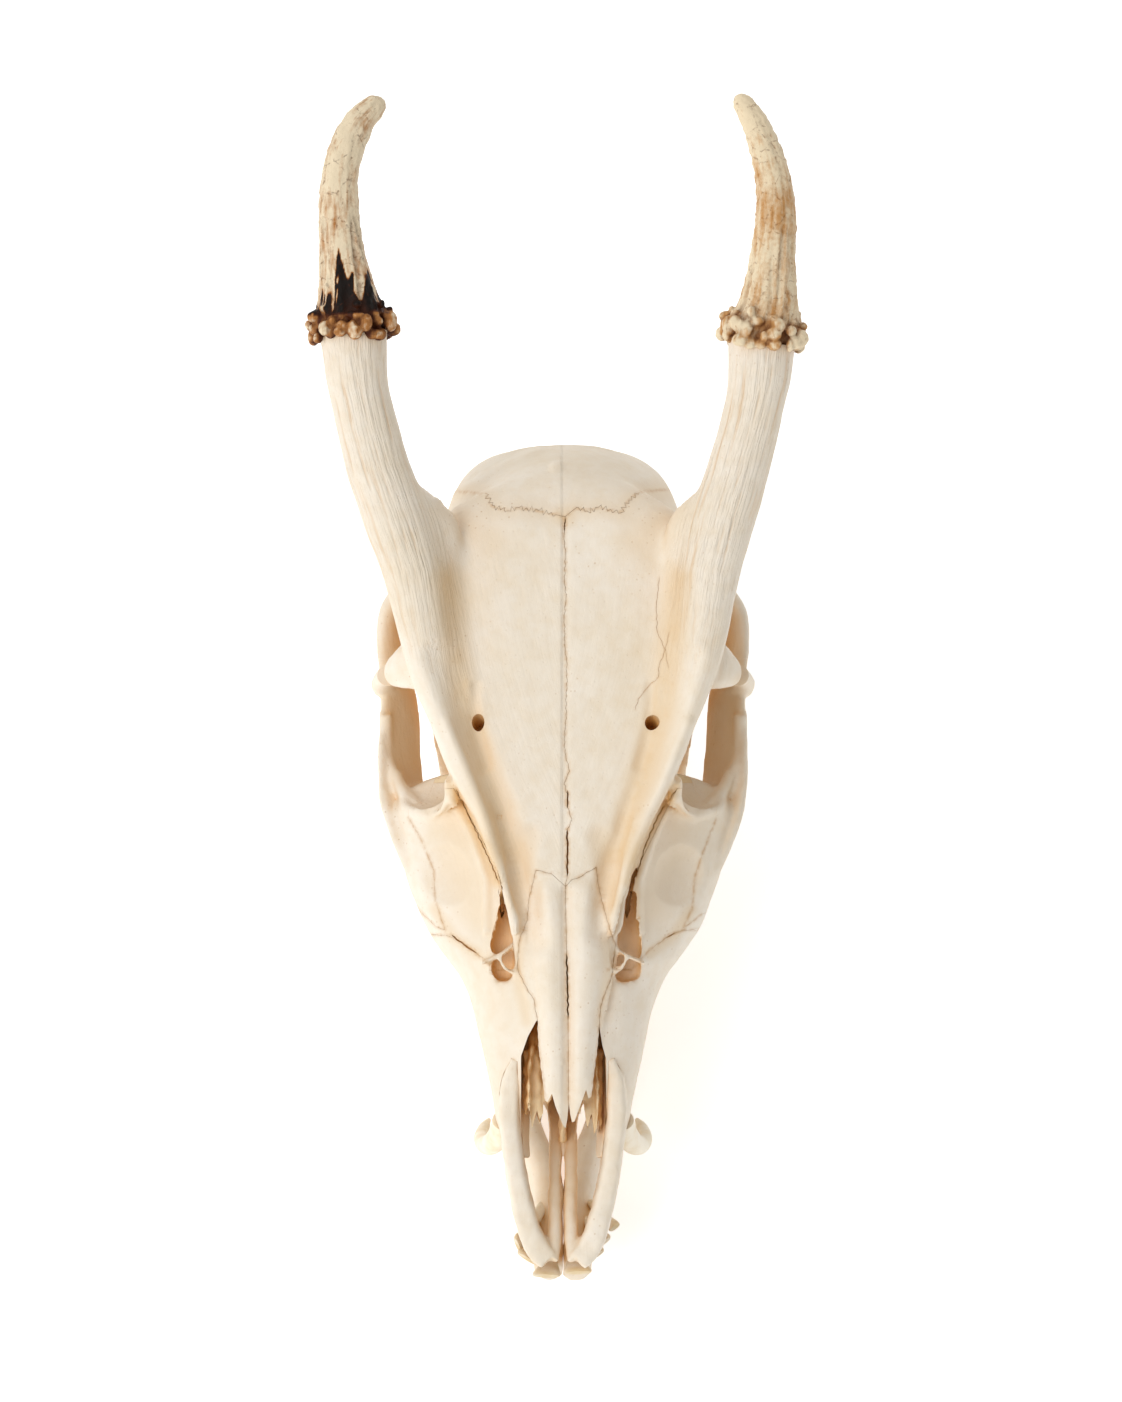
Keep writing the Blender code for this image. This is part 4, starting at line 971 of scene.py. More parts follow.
# Tip of the upper jaw

def premaxilla_bar(side, grow=0.0):
    """Outer bar of the upper jaw's tip, rising along the nose opening."""
    return sweep("bar", mirrored([
        (9.4, 42.5, -6.4, 0.9, 1.2),
        (10.4, 38, -8.8, 1.9, 3.2),
        (10.8, 32, -11.5, 2.1, 5.4),
        (10.3, 26, -14.0, 2.1, 6.6),
        (9.6, 20, -14.8, 2.1, 6.2),
        (8.4, 14, -14.4, 2.2, 4.8),
        (6.9, 8, -13.4, 2.3, 3.2),
        (5.0, 3.8, -12.8, 2.5, 2.0),
        (2.9, 1.6, -12.4, 2.2, 1.4),
    ], side), grow=grow, square=0.5)


def premaxilla_strip(side):
    """Inner strip of the upper jaw's tip, in the roof of the mouth."""
    return sweep("strip", mirrored([
        (1.5, 29, -23.4, 1.3, 0.9),
        (1.6, 20, -20.0, 1.35, 1.1),
        (1.65, 11, -16.4, 1.4, 1.3),
        (1.8, 5, -13.9, 1.5, 1.4),
        (2.6, 1.8, -12.5, 1.8, 1.3),
    ], side))


def tusk_stations(side):
    """The tusk's curve, out and back, with its radius."""
    return mirrored([
        (12.0, 29.5, -16.5, 2.3),
        (12.7, 26.6, -21.0, 2.4),
        (14.2, 24.4, -26.0, 2.25),
        (15.7, 23.9, -31.0, 2.0),
        (16.5, 25.0, -35.8, 1.7),
        (16.1, 26.8, -40.2, 1.2),
        (15.2, 28.2, -43.6, 0.5),
    ], side)


def build_premaxilla(side):
    """The bar and the palate strip, melted together at the tip of the upper jaw."""
    bone = fused("premaxilla", [premaxilla_bar(side), premaxilla_strip(side)], SMALL_VOXEL, 2)
    cut(bone, sweep("tusk room", tusk_stations(side), grow=SUTURE))
    half = [(-10, -40), (-10, 20), (60, 20), (60, -40)]
    cut(bone, block(half, 0.1, 60, from_side_of_face(side)), "INTERSECT")
    work = Carving(bone)
    work.ripple(5, 0.10, 40 + side)
    work.ripple(1.8, 0.035, 50 + side)
    return largest_only(work.done())


# Inside of the nose

def nose_wall():
    """The thin wall down the middle of the nose."""
    return mass("nose wall", [
        (53, -8.5, -23.0, 0.9, 0.9, 1.4),
        (44, -8.0, -24.4, 0.8, 0.8, 1.6),
        (36, -10.0, -24.4, 0.7, 0.7, 1.6),
        (30, -14.0, -23.8, 0.6, 0.6, 1.4),
        (25, -19.0, -21.9, 0.6, 0.6, 1.0),
    ], square=0.8, sides=20)


def nose_scrolls(side):
    """Paper-thin plates: a curl under the nose's roof, one along its outer wall, and a shelf above it."""
    return [
        sweep("scroll", mirrored([
            (0.6, 52, -14.0, 3.2, 0.7), (3.4, 46, -11.5, 2.8, 0.7), (4.4, 39, -10.2, 2.4, 0.6),
            (4.4, 26, -11.8, 2.0, 0.5),
        ], side), sides=16),
        sweep("outer scroll", mirrored([
            (5.0, 50, -12.0, 1.6, 0.6), (6.6, 42, -9.8, 0.5, 2.6), (6.9, 34, -10.6, 0.45, 3.2),
            (6.6, 26, -12.8, 0.4, 2.8),
        ], side), sides=16),
        sweep("shelf", mirrored([
            (6.3, 44, -9.9, 1.7, 0.45), (6.2, 38, -9.4, 1.8, 0.45), (6.0, 26, -11.4, 1.7, 0.4),
        ], side), sides=16),
    ]


# Broken front edges of the plates in the nose, drawn from above
RAGGED_EDGE = [(-9, 18), (-9, 33.0), (-7.4, 31.0), (-6.9, 33.5), (-6.2, 28.6), (-5.2, 31.8), (-4.6, 29.0),
               (-3.8, 33.6), (-3.0, 32.2), (-2.2, 34.5), (-1.2, 24.6), (1.4, 24.6), (2.6, 33.4), (3.4, 31.2),
               (4.0, 33.8), (4.9, 28.2), (5.7, 31.0), (6.4, 27.2), (7.2, 30.2), (7.6, 27.8), (9, 31.0),
               (9, 18)]


def build_turbinates():
    """The plates in the nose, broken off along their front edges."""
    pieces = [nose_wall()]
    for _, side in SIDES:
        pieces += nose_scrolls(side)
    plates = fused("turbinates", pieces, PLATE_VOXEL, 1)
    cut(plates, block(RAGGED_EDGE, -30, 2, place))
    work = Carving(plates)
    work.ripple(2.0, 0.16, 61)
    return largest_only(work.done())


# Teeth

# Each cheek tooth's length, half width and number of lobes, from front to back
UPPER_TEETH = [(7.4, 3.6, 1), (7.4, 4.0, 1), (6.8, 4.4, 1), (9.0, 4.9, 2), (10.0, 5.2, 2), (9.4, 4.9, 2)]
LOWER_TEETH = [(6.4, 2.2, 1), (7.4, 2.6, 1), (8.0, 3.0, 1), (9.0, 3.3, 2), (10.0, 3.4, 2), (13.0, 3.3, 3)]
# Both ends of each row, in y and x
UPPER_ROW = ((51.5, 12.2), (101.5, 16.6))
LOWER_ROW = ((50.5, 10.4), (104.3, 17.0))


CROWN_POINTS = 48


def crown_ring(x, y, z, half_length, half_width, lobes, pinch, side, slope):
    """Outline of a cheek tooth: one to three lobes with waists between them."""
    ring = []
    for i in range(CROWN_POINTS):
        angle = 2 * math.pi * i / CROWN_POINTS
        along = signed_power(math.cos(angle), 0.7)
        out = signed_power(math.sin(angle), 0.8)
        waist = 1 - pinch * (0.5 + 0.5 * math.cos(math.pi * lobes * (along + 1))) if lobes > 1 else 1.0
        ring.append(rest(side * (x + out * half_width * waist + slope * along * half_length),
                         y + along * half_length, z))
    return ring


def cheek_tooth(side, x, y, length, half_width, lobes, gum, bite, slope):
    """A moulded crown that narrows at the neck and ends in crescents round a sunk middle."""
    down = math.copysign(1, bite - gum)
    height = abs(bite - gum)
    half = length / 2 * 0.985
    profile = [(0.0, 0.86, 0.80, 0.25), (0.35, 0.92, 0.92, 0.28), (0.6, 1.0, 1.0, 0.30),
               (0.8, 1.0, 0.95, 0.34), (0.93, 0.97, 0.82, 0.36), (1.0, 0.93, 0.70, 0.36),
               (0.97, 0.80, 0.52, 0.30), (0.86, 0.62, 0.30, 0.2), (0.84, 0.30, 0.12, 0.0)]
    rings = []
    for share, long, wide, pinch in profile:
        rings.append(crown_ring(x, y, gum + down * height * share, half * long, half_width * wide, lobes,
                                pinch, side, slope))
    return draw_out("cheek tooth", rings)


def tooth_row(name, side, teeth, row, gum, bite, seed):
    """A row of cheek teeth as one piece."""
    draw = random.Random(seed)
    start, end = row
    total = sum(length for length, _, _ in teeth)
    slope = (end[1] - start[1]) / (end[0] - start[0])
    made = []
    y = start[0]
    for length, half_width, lobes in teeth:
        step = length * (end[0] - start[0]) / total
        middle = y + step / 2
        x = start[1] + slope * (middle - start[0])
        own_bite = bite + math.copysign(draw.uniform(0.0, 0.6), gum - bite)
        made.append(cheek_tooth(side, x, middle, step, half_width, lobes, gum, own_bite, slope))
        y += step
    row = joined(name, made)
    smooth_look(CHEEK_TOOTH_EDGE)
    return row


FRONT_TEETH = {
    "r": [(3.4, 4.2, 5.8), (7.2, 7.9, 5.0), (9.2, 10.9, 4.0), (7.4, 14.2, 3.0)],
    "l": [(3.1, 5.0, 5.6), (6.4, 8.4, 4.7), (8.2, 11.4, 3.8), (10.5, 14.6, 2.6)],
}


def front_teeth(label, name, side):
    """Four lower front teeth: thin roots that widen to flat spades, set edge over edge along the arch.

    FRONT_TEETH gives each tooth's tip in x and y, and its width.
    """
    draw = random.Random(31 + side)
    made = []
    tips = FRONT_TEETH[name]
    for i, (tip_x, tip_y, width) in enumerate(tips):
        before, after = tips[max(i - 1, 0)], tips[min(i + 1, len(tips) - 1)]
        edge = Vector((side * (after[0] - before[0]), (after[1] - before[1]) * min(i, 1) * 0.8, 0.0))
        root_x = tip_x * 0.55
        rise = Vector((side * (tip_x - root_x), -9.0, 9.7))
        face = edge.cross(rise).normalized()
        face *= math.copysign(1, face.z)
        tip_z = 24.2 + draw.uniform(-0.3, 0.1)
        made.append(sweep("front tooth", [
            (side * root_x, tip_y + 9.0, 14.5, 0.8, 1.1),
            (side * (root_x + tip_x) / 2, tip_y + 4.4, 19.0, width * 0.30, 1.3),
            (side * tip_x * 0.90, tip_y + 2.2, 21.6, width * 0.43, 1.1),
            (side * tip_x * 0.97, tip_y + 0.7, 23.4, width * 0.5, 0.75),
            (side * tip_x, tip_y, tip_z, width * 0.46, 0.4),
        ], up=tuple(face), where=rest, sides=24, square=0.95))
    row = joined(label, made)
    smooth_look(FRONT_TOOTH_EDGE)
    return row


def build_tusk(side):
    return sweep("tusk", tusk_stations(side), sides=28, steps=8)


# Lower jaw

# Outline of the upright blade, from the side in y and z; its half thickness, lean, and place across
RAMUS_LINE = [(101, 16), (107, 31), (112, 46), (115.5, 58), (119, 70), (124, 77.5), (129.5, 80), (131, 78.5),
              (127.5, 71), (126.2, 63), (129, 57.5), (132.5, 57.2), (138.5, 59.5), (138.6, 54), (136.2, 45),
              (135.0, 33), (134.4, 20), (130.5, 8.5), (124, 1.5), (116, -0.6), (104, -0.6)]
RAMUS_THICK = 1.7
RAMUS_LEAN = 0.105
RAMUS_FOOT = 19.8


def ramus(side):
    """The upright blade of the jaw, leaning out as it rises."""
    rings = []
    for face in (-RAMUS_THICK, RAMUS_THICK):
        rings.append([rest(side * (RAMUS_FOOT + RAMUS_LEAN * z + face), y, z) for y, z in RAMUS_LINE])
    return draw_out("ramus", rings)


def build_jaw(side):
    """One half of the lower jaw, without its teeth."""
    body = sweep("body", mirrored([
        (2.6, 8.5, 17.2, 3.2, 3.4),
        (2.8, 16, 13.2, 3.6, 4.8),
        (3.0, 26, 9.2, 3.8, 5.8),
        (4.9, 36, 6.9, 3.3, 6.1),
        (8.6, 46, 6.6, 3.2, 6.9),
        (11.8, 58, 7.8, 3.3, 8.1),
        (14.2, 72, 8.7, 3.6, 9.1),
        (16.2, 86, 9.4, 3.8, 9.8),
        (18.4, 100, 10.2, 3.6, 10.6),
        (20.4, 110, 12.5, 3.0, 12.6),
        (21.6, 118, 16.0, 2.6, 14.0),
    ], side), where=rest, sides=28)
    knob = lump("hinge knob", rest(side * HINGE[0], HINGE[1], HINGE[2]), HINGE_SIZE)
    jaw = fused("jaw", [body, ramus(side), knob], FINE_VOXEL, 5)
    room = [(-20, 0), (-20, 110), (200, 110), (200, 0)]
    cut(jaw, block(room, 0.1, 60, from_side(side)), "INTERSECT")
    work = Carving(jaw)
    work.ripple(8, 0.12, 70 + side)
    work.ripple(3, 0.05, 72 + side)
    return largest_only(work.done())


# Antlers: a spline down the beam carries rings whose outline is grooved, and the burr is a crown of pearls

# Middles of the beams in x, s and n, and their radius
ANTLER_PATHS = {
    "l": [
        (40.5, 189.5, 9.2, 7.0),
        (41.0, 192.5, 9.4, 6.3),
        (41.6, 199.5, 9.4, 5.0),
        (42.2, 207.5, 9.0, 4.3),
        (42.0, 215.0, 8.0, 3.7),
        (40.8, 221.5, 6.6, 3.3),
        (38.5, 228.2, 4.6, 2.75),
        (36.3, 232.2, 3.1, 2.2),
        (35.2, 233.9, 2.4, 1.6),
        (34.7, 234.7, 2.1, 0.5),
    ],
    "r": [
        (-42.0, 190.5, 9.2, 7.3),
        (-42.5, 194.5, 9.4, 6.2),
        (-43.5, 202.0, 9.4, 4.9),
        (-44.3, 210.0, 9.0, 4.2),
        (-44.3, 217.0, 8.2, 3.8),
        (-43.0, 223.5, 7.0, 3.6),
        (-40.6, 228.8, 5.4, 3.1),
        (-38.0, 231.8, 4.1, 2.5),
        (-36.5, 232.9, 3.4, 1.8),
        (-35.7, 233.5, 3.0, 0.6),
    ],
}
# The solids keep this between an antler and its stalk
GAP = 0.3


def across_of(direction):
    """Two ways square to a direction: level across, and up."""
    across = direction.cross(Vector((0, 0, 1))).normalized()
    return across, across.cross(direction).normalized()


def antler_base(name, side):
    """Where the antler starts on its stalk, and the way it points there."""
    path = ANTLER_PATHS[name]
    burr = BURR_CENTRES[name]
    ahead = (place(*path[1][:3]) - place(burr[0] - side * 0.1, burr[1] - 4.5, 8.6)).normalized()
    return place(*burr) + ahead * (GAP - 0.7) * MM, ahead


HALF_SPACE = 80.0


def half_space(point, ahead):
    """A block whose near face passes through the point, square to ahead."""
    across, lift = across_of(ahead)
    corners = [(-1, -1), (1, -1), (1, 1), (-1, 1)]
    rings = []
    for depth in (0, HALF_SPACE):
        rings.append([point + (ahead * depth + across * u * HALF_SPACE + lift * v * HALF_SPACE) * MM
                      for u, v in corners])
    return draw_out("half", rings)


# Rows of pearls: how many, how far from the middle, how high, and their smallest and largest half size
BURR_ROWS = (
    (17, 7.3, 0.3, (1.0, 1.8)),
    (16, 7.6, 2.0, (1.2, 2.0)),
    (15, 7.1, 3.8, (0.9, 1.6)),
    (13, 6.3, 5.2, (0.6, 1.1)),
)


def build_antler(name, side):
    """Burr ring of pearls, and a grooved beam that thins and bends to its point.

    The place and direction of its base come back with it, for the cut through the stalk.
    """
    base, ahead = antler_base(name, side)
    across, lift = across_of(ahead)
    stations = [tuple(base) + (6.7,), tuple(base + ahead * 1.6 * MM) + (6.9,)]
    stations += [tuple(place(*station[:3])) + (station[3],) for station in ANTLER_PATHS[name]]
    line = smooth_line(stations, 10)
    draw = random.Random(ord(name))
    # Each groove's place round the beam, half width, reach along it, and turn
    ranges = ((0, 6.28), (0.10, 0.22), (0.25, 0.9), (-0.02, 0.02))
    grooves = [tuple(draw.uniform(*limits) for limits in ranges) for _ in range(GROOVES)]
    rings = []
    for i, station in enumerate(line):
        point = Vector(station[:3])
        direction = Vector(line[min(i + 1, len(line) - 1)][:3]) - Vector(line[max(i - 1, 0)][:3])
        u, v = across_of(direction.normalized())
        share = i / (len(line) - 1)
        ring = []
        for k in range(ANTLER_BEAM_SIDES):
            angle = 2 * math.pi * k / ANTLER_BEAM_SIDES
            sunk = 0.0
            for at, wide, reach, turn in grooves:
                off = (angle - at - turn * i + math.pi) % (2 * math.pi) - math.pi
                if share < reach + 0.1:
                    fade = min(1.0, (reach + 0.1 - share) / 0.15)
                    sunk = max(sunk, fade * max(0.0, 1 - (off / wide) ** 2))
            radius = station[3] - sunk * (0.62 if share < 0.45 else 0.22) * min(1.0, (1 - share) * 8)
            radius = max(radius, 0.15)
            ring.append(point + (u * math.cos(angle) + v * math.sin(angle)) * radius * MM)
        rings.append(ring)
    shells = [draw_out("beam", rings)]
    for count, out_by, rise, sizes in BURR_ROWS:
        for i in range(count):
            angle = 2 * math.pi * (i + draw.uniform(-0.45, 0.45)) / count
            out = across * math.cos(angle) + lift * math.sin(angle)
            size = draw.uniform(*sizes)
            centre = base + out * (out_by + draw.uniform(-0.6, 0.9)) * MM
            centre += ahead * (rise + draw.uniform(-0.9, 0.9)) * MM
            radii = [size * draw.uniform(0.7, most) for most in (1.2, 1.4, 1.2)]
            shells.append(lump("pearl", centre, radii, detail=2))
    antler = fused("antler", shells, ANTLER_VOXEL, 2)
    work = Carving(antler)
    work.ripple(2.2, 0.07, ord(name))
    work.ripple(0.9, 0.04, ord(name) + 1)
    return largest_only(work.done()), base, ahead


# Finishes

class Finish:
    """A material put together from shader nodes. Each method adds one and gives the socket of its result."""

    def __init__(self, name):
        self.material = bpy.data.materials.new(name)
        self.material.use_nodes = True
        self.tree = self.material.node_tree
        self.shader = self.tree.nodes["Principled BSDF"]
        self.place = self.node("ShaderNodeTexCoord", {}, "Object")

    def node(self, kind, inputs, output=0, **settings):
        """A node with its settings, and its inputs as values or as the sockets that feed them."""
        made = self.tree.nodes.new(kind)
        for key, value in settings.items():
            setattr(made, key, value)
        for key, value in inputs.items():
            socket = made.inputs[key]
            if isinstance(value, bpy.types.NodeSocket):
                self.tree.links.new(value, socket)
            else:
                socket.default_value = value
        return made.outputs[output]

    def kept(self, label, output="Fac"):
        """What the mesh keeps for each point: one number, or three as a Vector."""
        return self.node("ShaderNodeAttribute", {}, output, attribute_name=label)

    def noise(self, at, scale, detail, **more):
        """Clouds between 0 and 1."""
        inputs = {"Vector": at, "Scale": scale, "Detail": detail, **more}
        return self.node("ShaderNodeTexNoise", inputs, "Fac")

    def cells(self, scale, **settings):
        """Distance to the nearest of many scattered points, or to the edge between their cells."""
        inputs = {"Vector": self.place, "Scale": scale}
        return self.node("ShaderNodeTexVoronoi", inputs, "Distance", **settings)

    def light(self, reach, samples):
        """1 in the open, and less where little light gets in."""
        return self.node("ShaderNodeAmbientOcclusion", {"Distance": reach}, "AO", samples=samples)

    def span(self, value, start, end, low, high, **settings):
        """The value's range from start to end, laid over low to high."""
        inputs = {"Value": value, 1: start, 2: end, 3: low, 4: high}
        return self.node("ShaderNodeMapRange", inputs, **settings)

    def reckon(self, operation, *values):
        """A sum by its name, such as MULTIPLY_ADD, on values in their order."""
        return self.node("ShaderNodeMath", dict(enumerate(values)), operation=operation)

    def over(self, share, under, colour, **settings):
        """A colour laid over what is under it, by the share."""
        return self.node("ShaderNodeMix", {0: share, 6: under, 7: colour}, 2, data_type="RGBA", **settings)

    def tones(self, value, *stops):
        """Colours along the value, each at its place from 0 to 1."""
        colour = self.node("ShaderNodeValToRGB", {"Fac": value}, "Color")
        elements = colour.node.color_ramp.elements
        while len(elements) < len(stops):
            elements.new(0.5)
        for element, (at, code) in zip(elements, stops):
            element.position = at
            element.color = linear(code)
        return colour

    def done(self, colour, height, strength, distance, **values):
        """Feeds the shader: colour, bump, and plain values such as Roughness."""
        self.tree.links.new(colour, self.shader.inputs["Base Color"])
        bump = self.node("ShaderNodeBump", {"Height": height, "Strength": strength, "Distance": distance})
        self.tree.links.new(bump, self.shader.inputs["Normal"])
        for key, value in values.items():
            self.shader.inputs[key.replace("_", " ")].default_value = value
        return self.material


def dry_bone(name="cleaned bone", pale="#EEE4D5", warm="#E8DBC6", shade_colour="#E2A94E"):
    """Cleaned, bleached bone: dull cream, a little fibrous and porous, with tan painted shade in the troughs
    and recesses.
    """
    look = Finish(name)
    grain_of = look.kept("grain", "Vector")
    stalk_of = look.kept("stalk")
    seam_of = look.kept("seam")
    # Clouds of grease 20 mm across, and mottling of 3 mm
    cloud = look.noise(look.place, 50.0, 4.0)
    blotch = look.noise(look.place, 330.0, 5.0, Roughness=0.6)
    tone = look.tones(cloud, (0.30, warm), (0.66, pale))
    speckle = look.tones(blotch, (0.30, "#F4E9D6"), (0.60, "#FFFFFF"))
    colour = look.over(0.35, tone, speckle, blend_type="MULTIPLY")
    # Long fibres 0.5 mm wide
    fibre = look.noise(grain_of, 0.9, 4.0, Roughness=0.6)
    thread = look.span(fibre, 0.46, 0.30, 0.0, 0.55)
    colour = look.over(look.reckon("MULTIPLY", thread, stalk_of), colour, linear("#D0A670"))
    # Painted shade: tan along the troughs and creases, and deeper orange-tan where little light gets in
    trough_shade_of = look.kept("trough_shade")
    uneven = look.span(blotch, 0.3, 0.7, 0.6, 1.15)
    colour = look.over(look.reckon("MULTIPLY", trough_shade_of, uneven), colour, linear("#DCBC8C"))
    # Painted shade: the ambient-occlusion node turns recesses deep orange-tan
    sunk = look.span(look.light(0.014, 2), 0.78, 0.08, 0.0, 0.9, interpolation_type="SMOOTHSTEP")
    colour = look.over(sunk, colour, linear(shade_colour))
    # Brown dirt in the sutures, spreading a little to each side
    ragged = look.span(look.noise(look.place, 900.0, 3.0), 0.32, 0.62, 0.05, 0.6)
    colour = look.over(look.reckon("MULTIPLY", seam_of, ragged), colour, linear("#BF8B42"))
    # Pores 0.3 mm across, a pit every 1.5 mm, some of them brown
    pores = look.cells(700.0)
    dot = look.span(pores, 0.16, 0.05, 0.0, 1.0)
    some = look.span(cloud, 0.50, 0.66, 0.05, 0.6)
    colour = look.over(look.reckon("MULTIPLY", dot, some), colour, linear("#B98F58"))
    # Relief: pits, and fibres that are deepest on the antlers' stalks
    pit = look.span(pores, 0.0, 0.2, 0.0, 1.0)
    pull = look.reckon("MULTIPLY_ADD", stalk_of, 4.4, 0.5)
    lines = look.reckon("MULTIPLY", fibre, pull)
    grain = look.reckon("MULTIPLY_ADD", blotch, 0.7, lines)
    height = look.reckon("MULTIPLY_ADD", pit, 0.2, grain)
    return look.done(colour, height, 0.8, 0.00026, Roughness=0.55, IOR=1.5)


def enamel(name="tooth enamel", pale="#F1E5CE", warm="#E3CCA2"):
    """Enamel and tusk: smoother than bone, ivory with a yellow cast, with brown painted shade in the folds
    and between the teeth.
    """
    look = Finish(name)
    cloud = look.noise(look.place, 260.0, 3.0)
    tone = look.tones(cloud, (0.35, warm), (0.6, pale))
    # Painted shade: brown where little light gets in, in the folds and between the teeth
    dark = look.span(look.light(0.002, 3), 0.7, 0.15, 0.0, 0.6)
    colour = look.over(dark, tone, linear("#BE8F4E"))
    return look.done(colour, cloud, 0.25, 0.0001, Roughness=0.38, IOR=1.6)


def antler_horn(name, pale, mid, dark):
    """Antler: ivory beam rubbed pale towards the tip, bark-brown round the burr, with dark painted shade in
    its grooves and between the pearls.
    """
    look = Finish(name)
    bark = look.kept("bark")
    along = look.kept("grain", "Vector")
    # Streaks 0.6 mm wide down the beam, and specks of 0.4 mm
    streak = look.noise(along, 0.9, 5.0, Roughness=0.62, Distortion=0.4)
    speck = look.noise(look.place, 1100.0, 3.0, Roughness=0.6)
    both = look.reckon("MULTIPLY_ADD", speck, 0.35, streak)
    centred = look.reckon("SUBTRACT", both, 0.675)
    mixed = look.reckon("MULTIPLY_ADD", centred, 0.6, bark)
    tone = look.tones(mixed, (0.12, pale), (0.34, mid), (0.62, dark), (0.86, "#120B07"))
    # Hair cracks round plates of 5 mm, broken up by the specks
    hair = look.span(look.cells(230.0, feature="DISTANCE_TO_EDGE"), 0.045, 0.0, 0.0, 1.0)
    broken = look.span(speck, 0.48, 0.62, 0.0, 0.6)
    colour = look.over(look.reckon("MULTIPLY", hair, broken), tone, linear(dark))
    # Painted shade: dark where little light gets in, in the grooves and between the pearls
    sunk = look.span(look.light(0.002, 3), 0.92, 0.5, 0.0, 0.95)
    colour = look.over(sunk, colour, linear(dark))
    return look.done(colour, both, 0.6, 0.0003, Roughness=0.58, Specular_IOR_Level=0.16)


# Painted shade along the troughs, hollows and creases on either side, drawn from above: a line, its width
# and how strong
TROUGH_SHADE_LINES = [
    ([(22.8, 138), (21.9, 129), (20.8, 120), (19.4, 111), (17.0, 103), (14.0, 93), (11.6, 84)], 5.0, 0.62),
    ([(22, 152), (14, 146)], 6.0, 0.25),
    ([(7.0, 87), (8.4, 80), (9.8, 74)], 3.5, 0.35),
    ([(22.5, 97), (18.6, 90), (15.6, 84), (13.2, 78)], 2.2, 0.75),
    ([(23.5, 92), (21.0, 82), (18.0, 72)], 6.5, 0.28),
    ([(8.6, 66), (8.8, 58), (7.2, 50)], 2.0, 0.35),
    ([(25.8, 72), (22.0, 66.5), (17.4, 63.4)], 2.0, 0.45),
    ([(33, 98), (34.5, 108), (35.5, 118)], 2.5, 0.35),
]


def write_layer(obj, label, values):
    """Keeps a number, or three of them, for each point of the mesh, for the materials to read."""
    kind, field = ("FLOAT", "value") if values.ndim == 1 else ("FLOAT_VECTOR", "vector")
    layer = obj.data.attributes.new(label, kind, "POINT")
    layer.data.foreach_set(field, values.astype(np.float32).reshape(-1))


def middle_along(path, at):
    """The x and n of a path's middle at each point's own s."""
    return np.stack([np.interp(at[:, 1], path[:, 1], path[:, axis]) for axis in (0, 2)])


def lay_grain(obj):
    """Where fibres run, how far a place belongs to an antler's stalk, and how near it is to a suture.

    Painted shade is laid here too: tan along the troughs, hollows and creases, and along the coronal suture.
    """
    work = Carving(obj)
    at = work.at
    grain = at * np.array([1.0, 0.05, 1.0])
    stalk = np.zeros(len(at))
    for _, side in SIDES:
        path = np.array(ridge_stations(side))
        here = at[:, 0] * side > 0
        middle = middle_along(path, at)
        off = np.hypot(at[:, 0] - middle[0], at[:, 2] - middle[1])
        share = np.clip((10.0 - off) / 4.0, 0, 1) * np.clip((at[:, 1] - 110) / 36, 0, 1)
        grain[here, 0] -= middle[0][here]
        grain[here, 2] -= middle[1][here]
        stalk = np.maximum(stalk, share)
    lines = [MIDLINE, NASAL_MIDLINE] + [line for line, _, _ in OPEN_SEAMS]
    for name, _ in SIDES:
        lines += [CORONAL[name][:-1], NASAL_OUTER[name], JUGAL_LINE[name][:7], LACRIMAL_LINE[name][:6]]
    for line in lines:
        work.stroke(line, 0.55, 0.85, facing=0.0)
    for line in FOREHEAD_CRACKS:
        work.stroke(line, 0.45, 0.35, facing=0.0)
    for x, s, _, _ in BROW_HOLES:
        work.stroke([(x, s - 0.5), (x, s + 0.5)], 2.2, 0.7, facing=-1.0)
    # Painted shade: tan along the troughs, hollows and creases, and along the coronal suture
    trough_shade = Carving(obj)
    for name, side in SIDES:
        for line, width, share in TROUGH_SHADE_LINES:
            trough_shade.stroke(mirrored(line, side), width, share, facing=-0.2)
        trough_shade.stroke(CORONAL[name][:-1], 3.5, 0.30, facing=-0.2)
    write_layer(obj, "stalk", stalk)
    write_layer(obj, "seam", np.clip(work.move, 0, 1))
    write_layer(obj, "trough_shade", np.clip(trough_shade.move, 0, 0.8))
    write_layer(obj, "grain", grain)


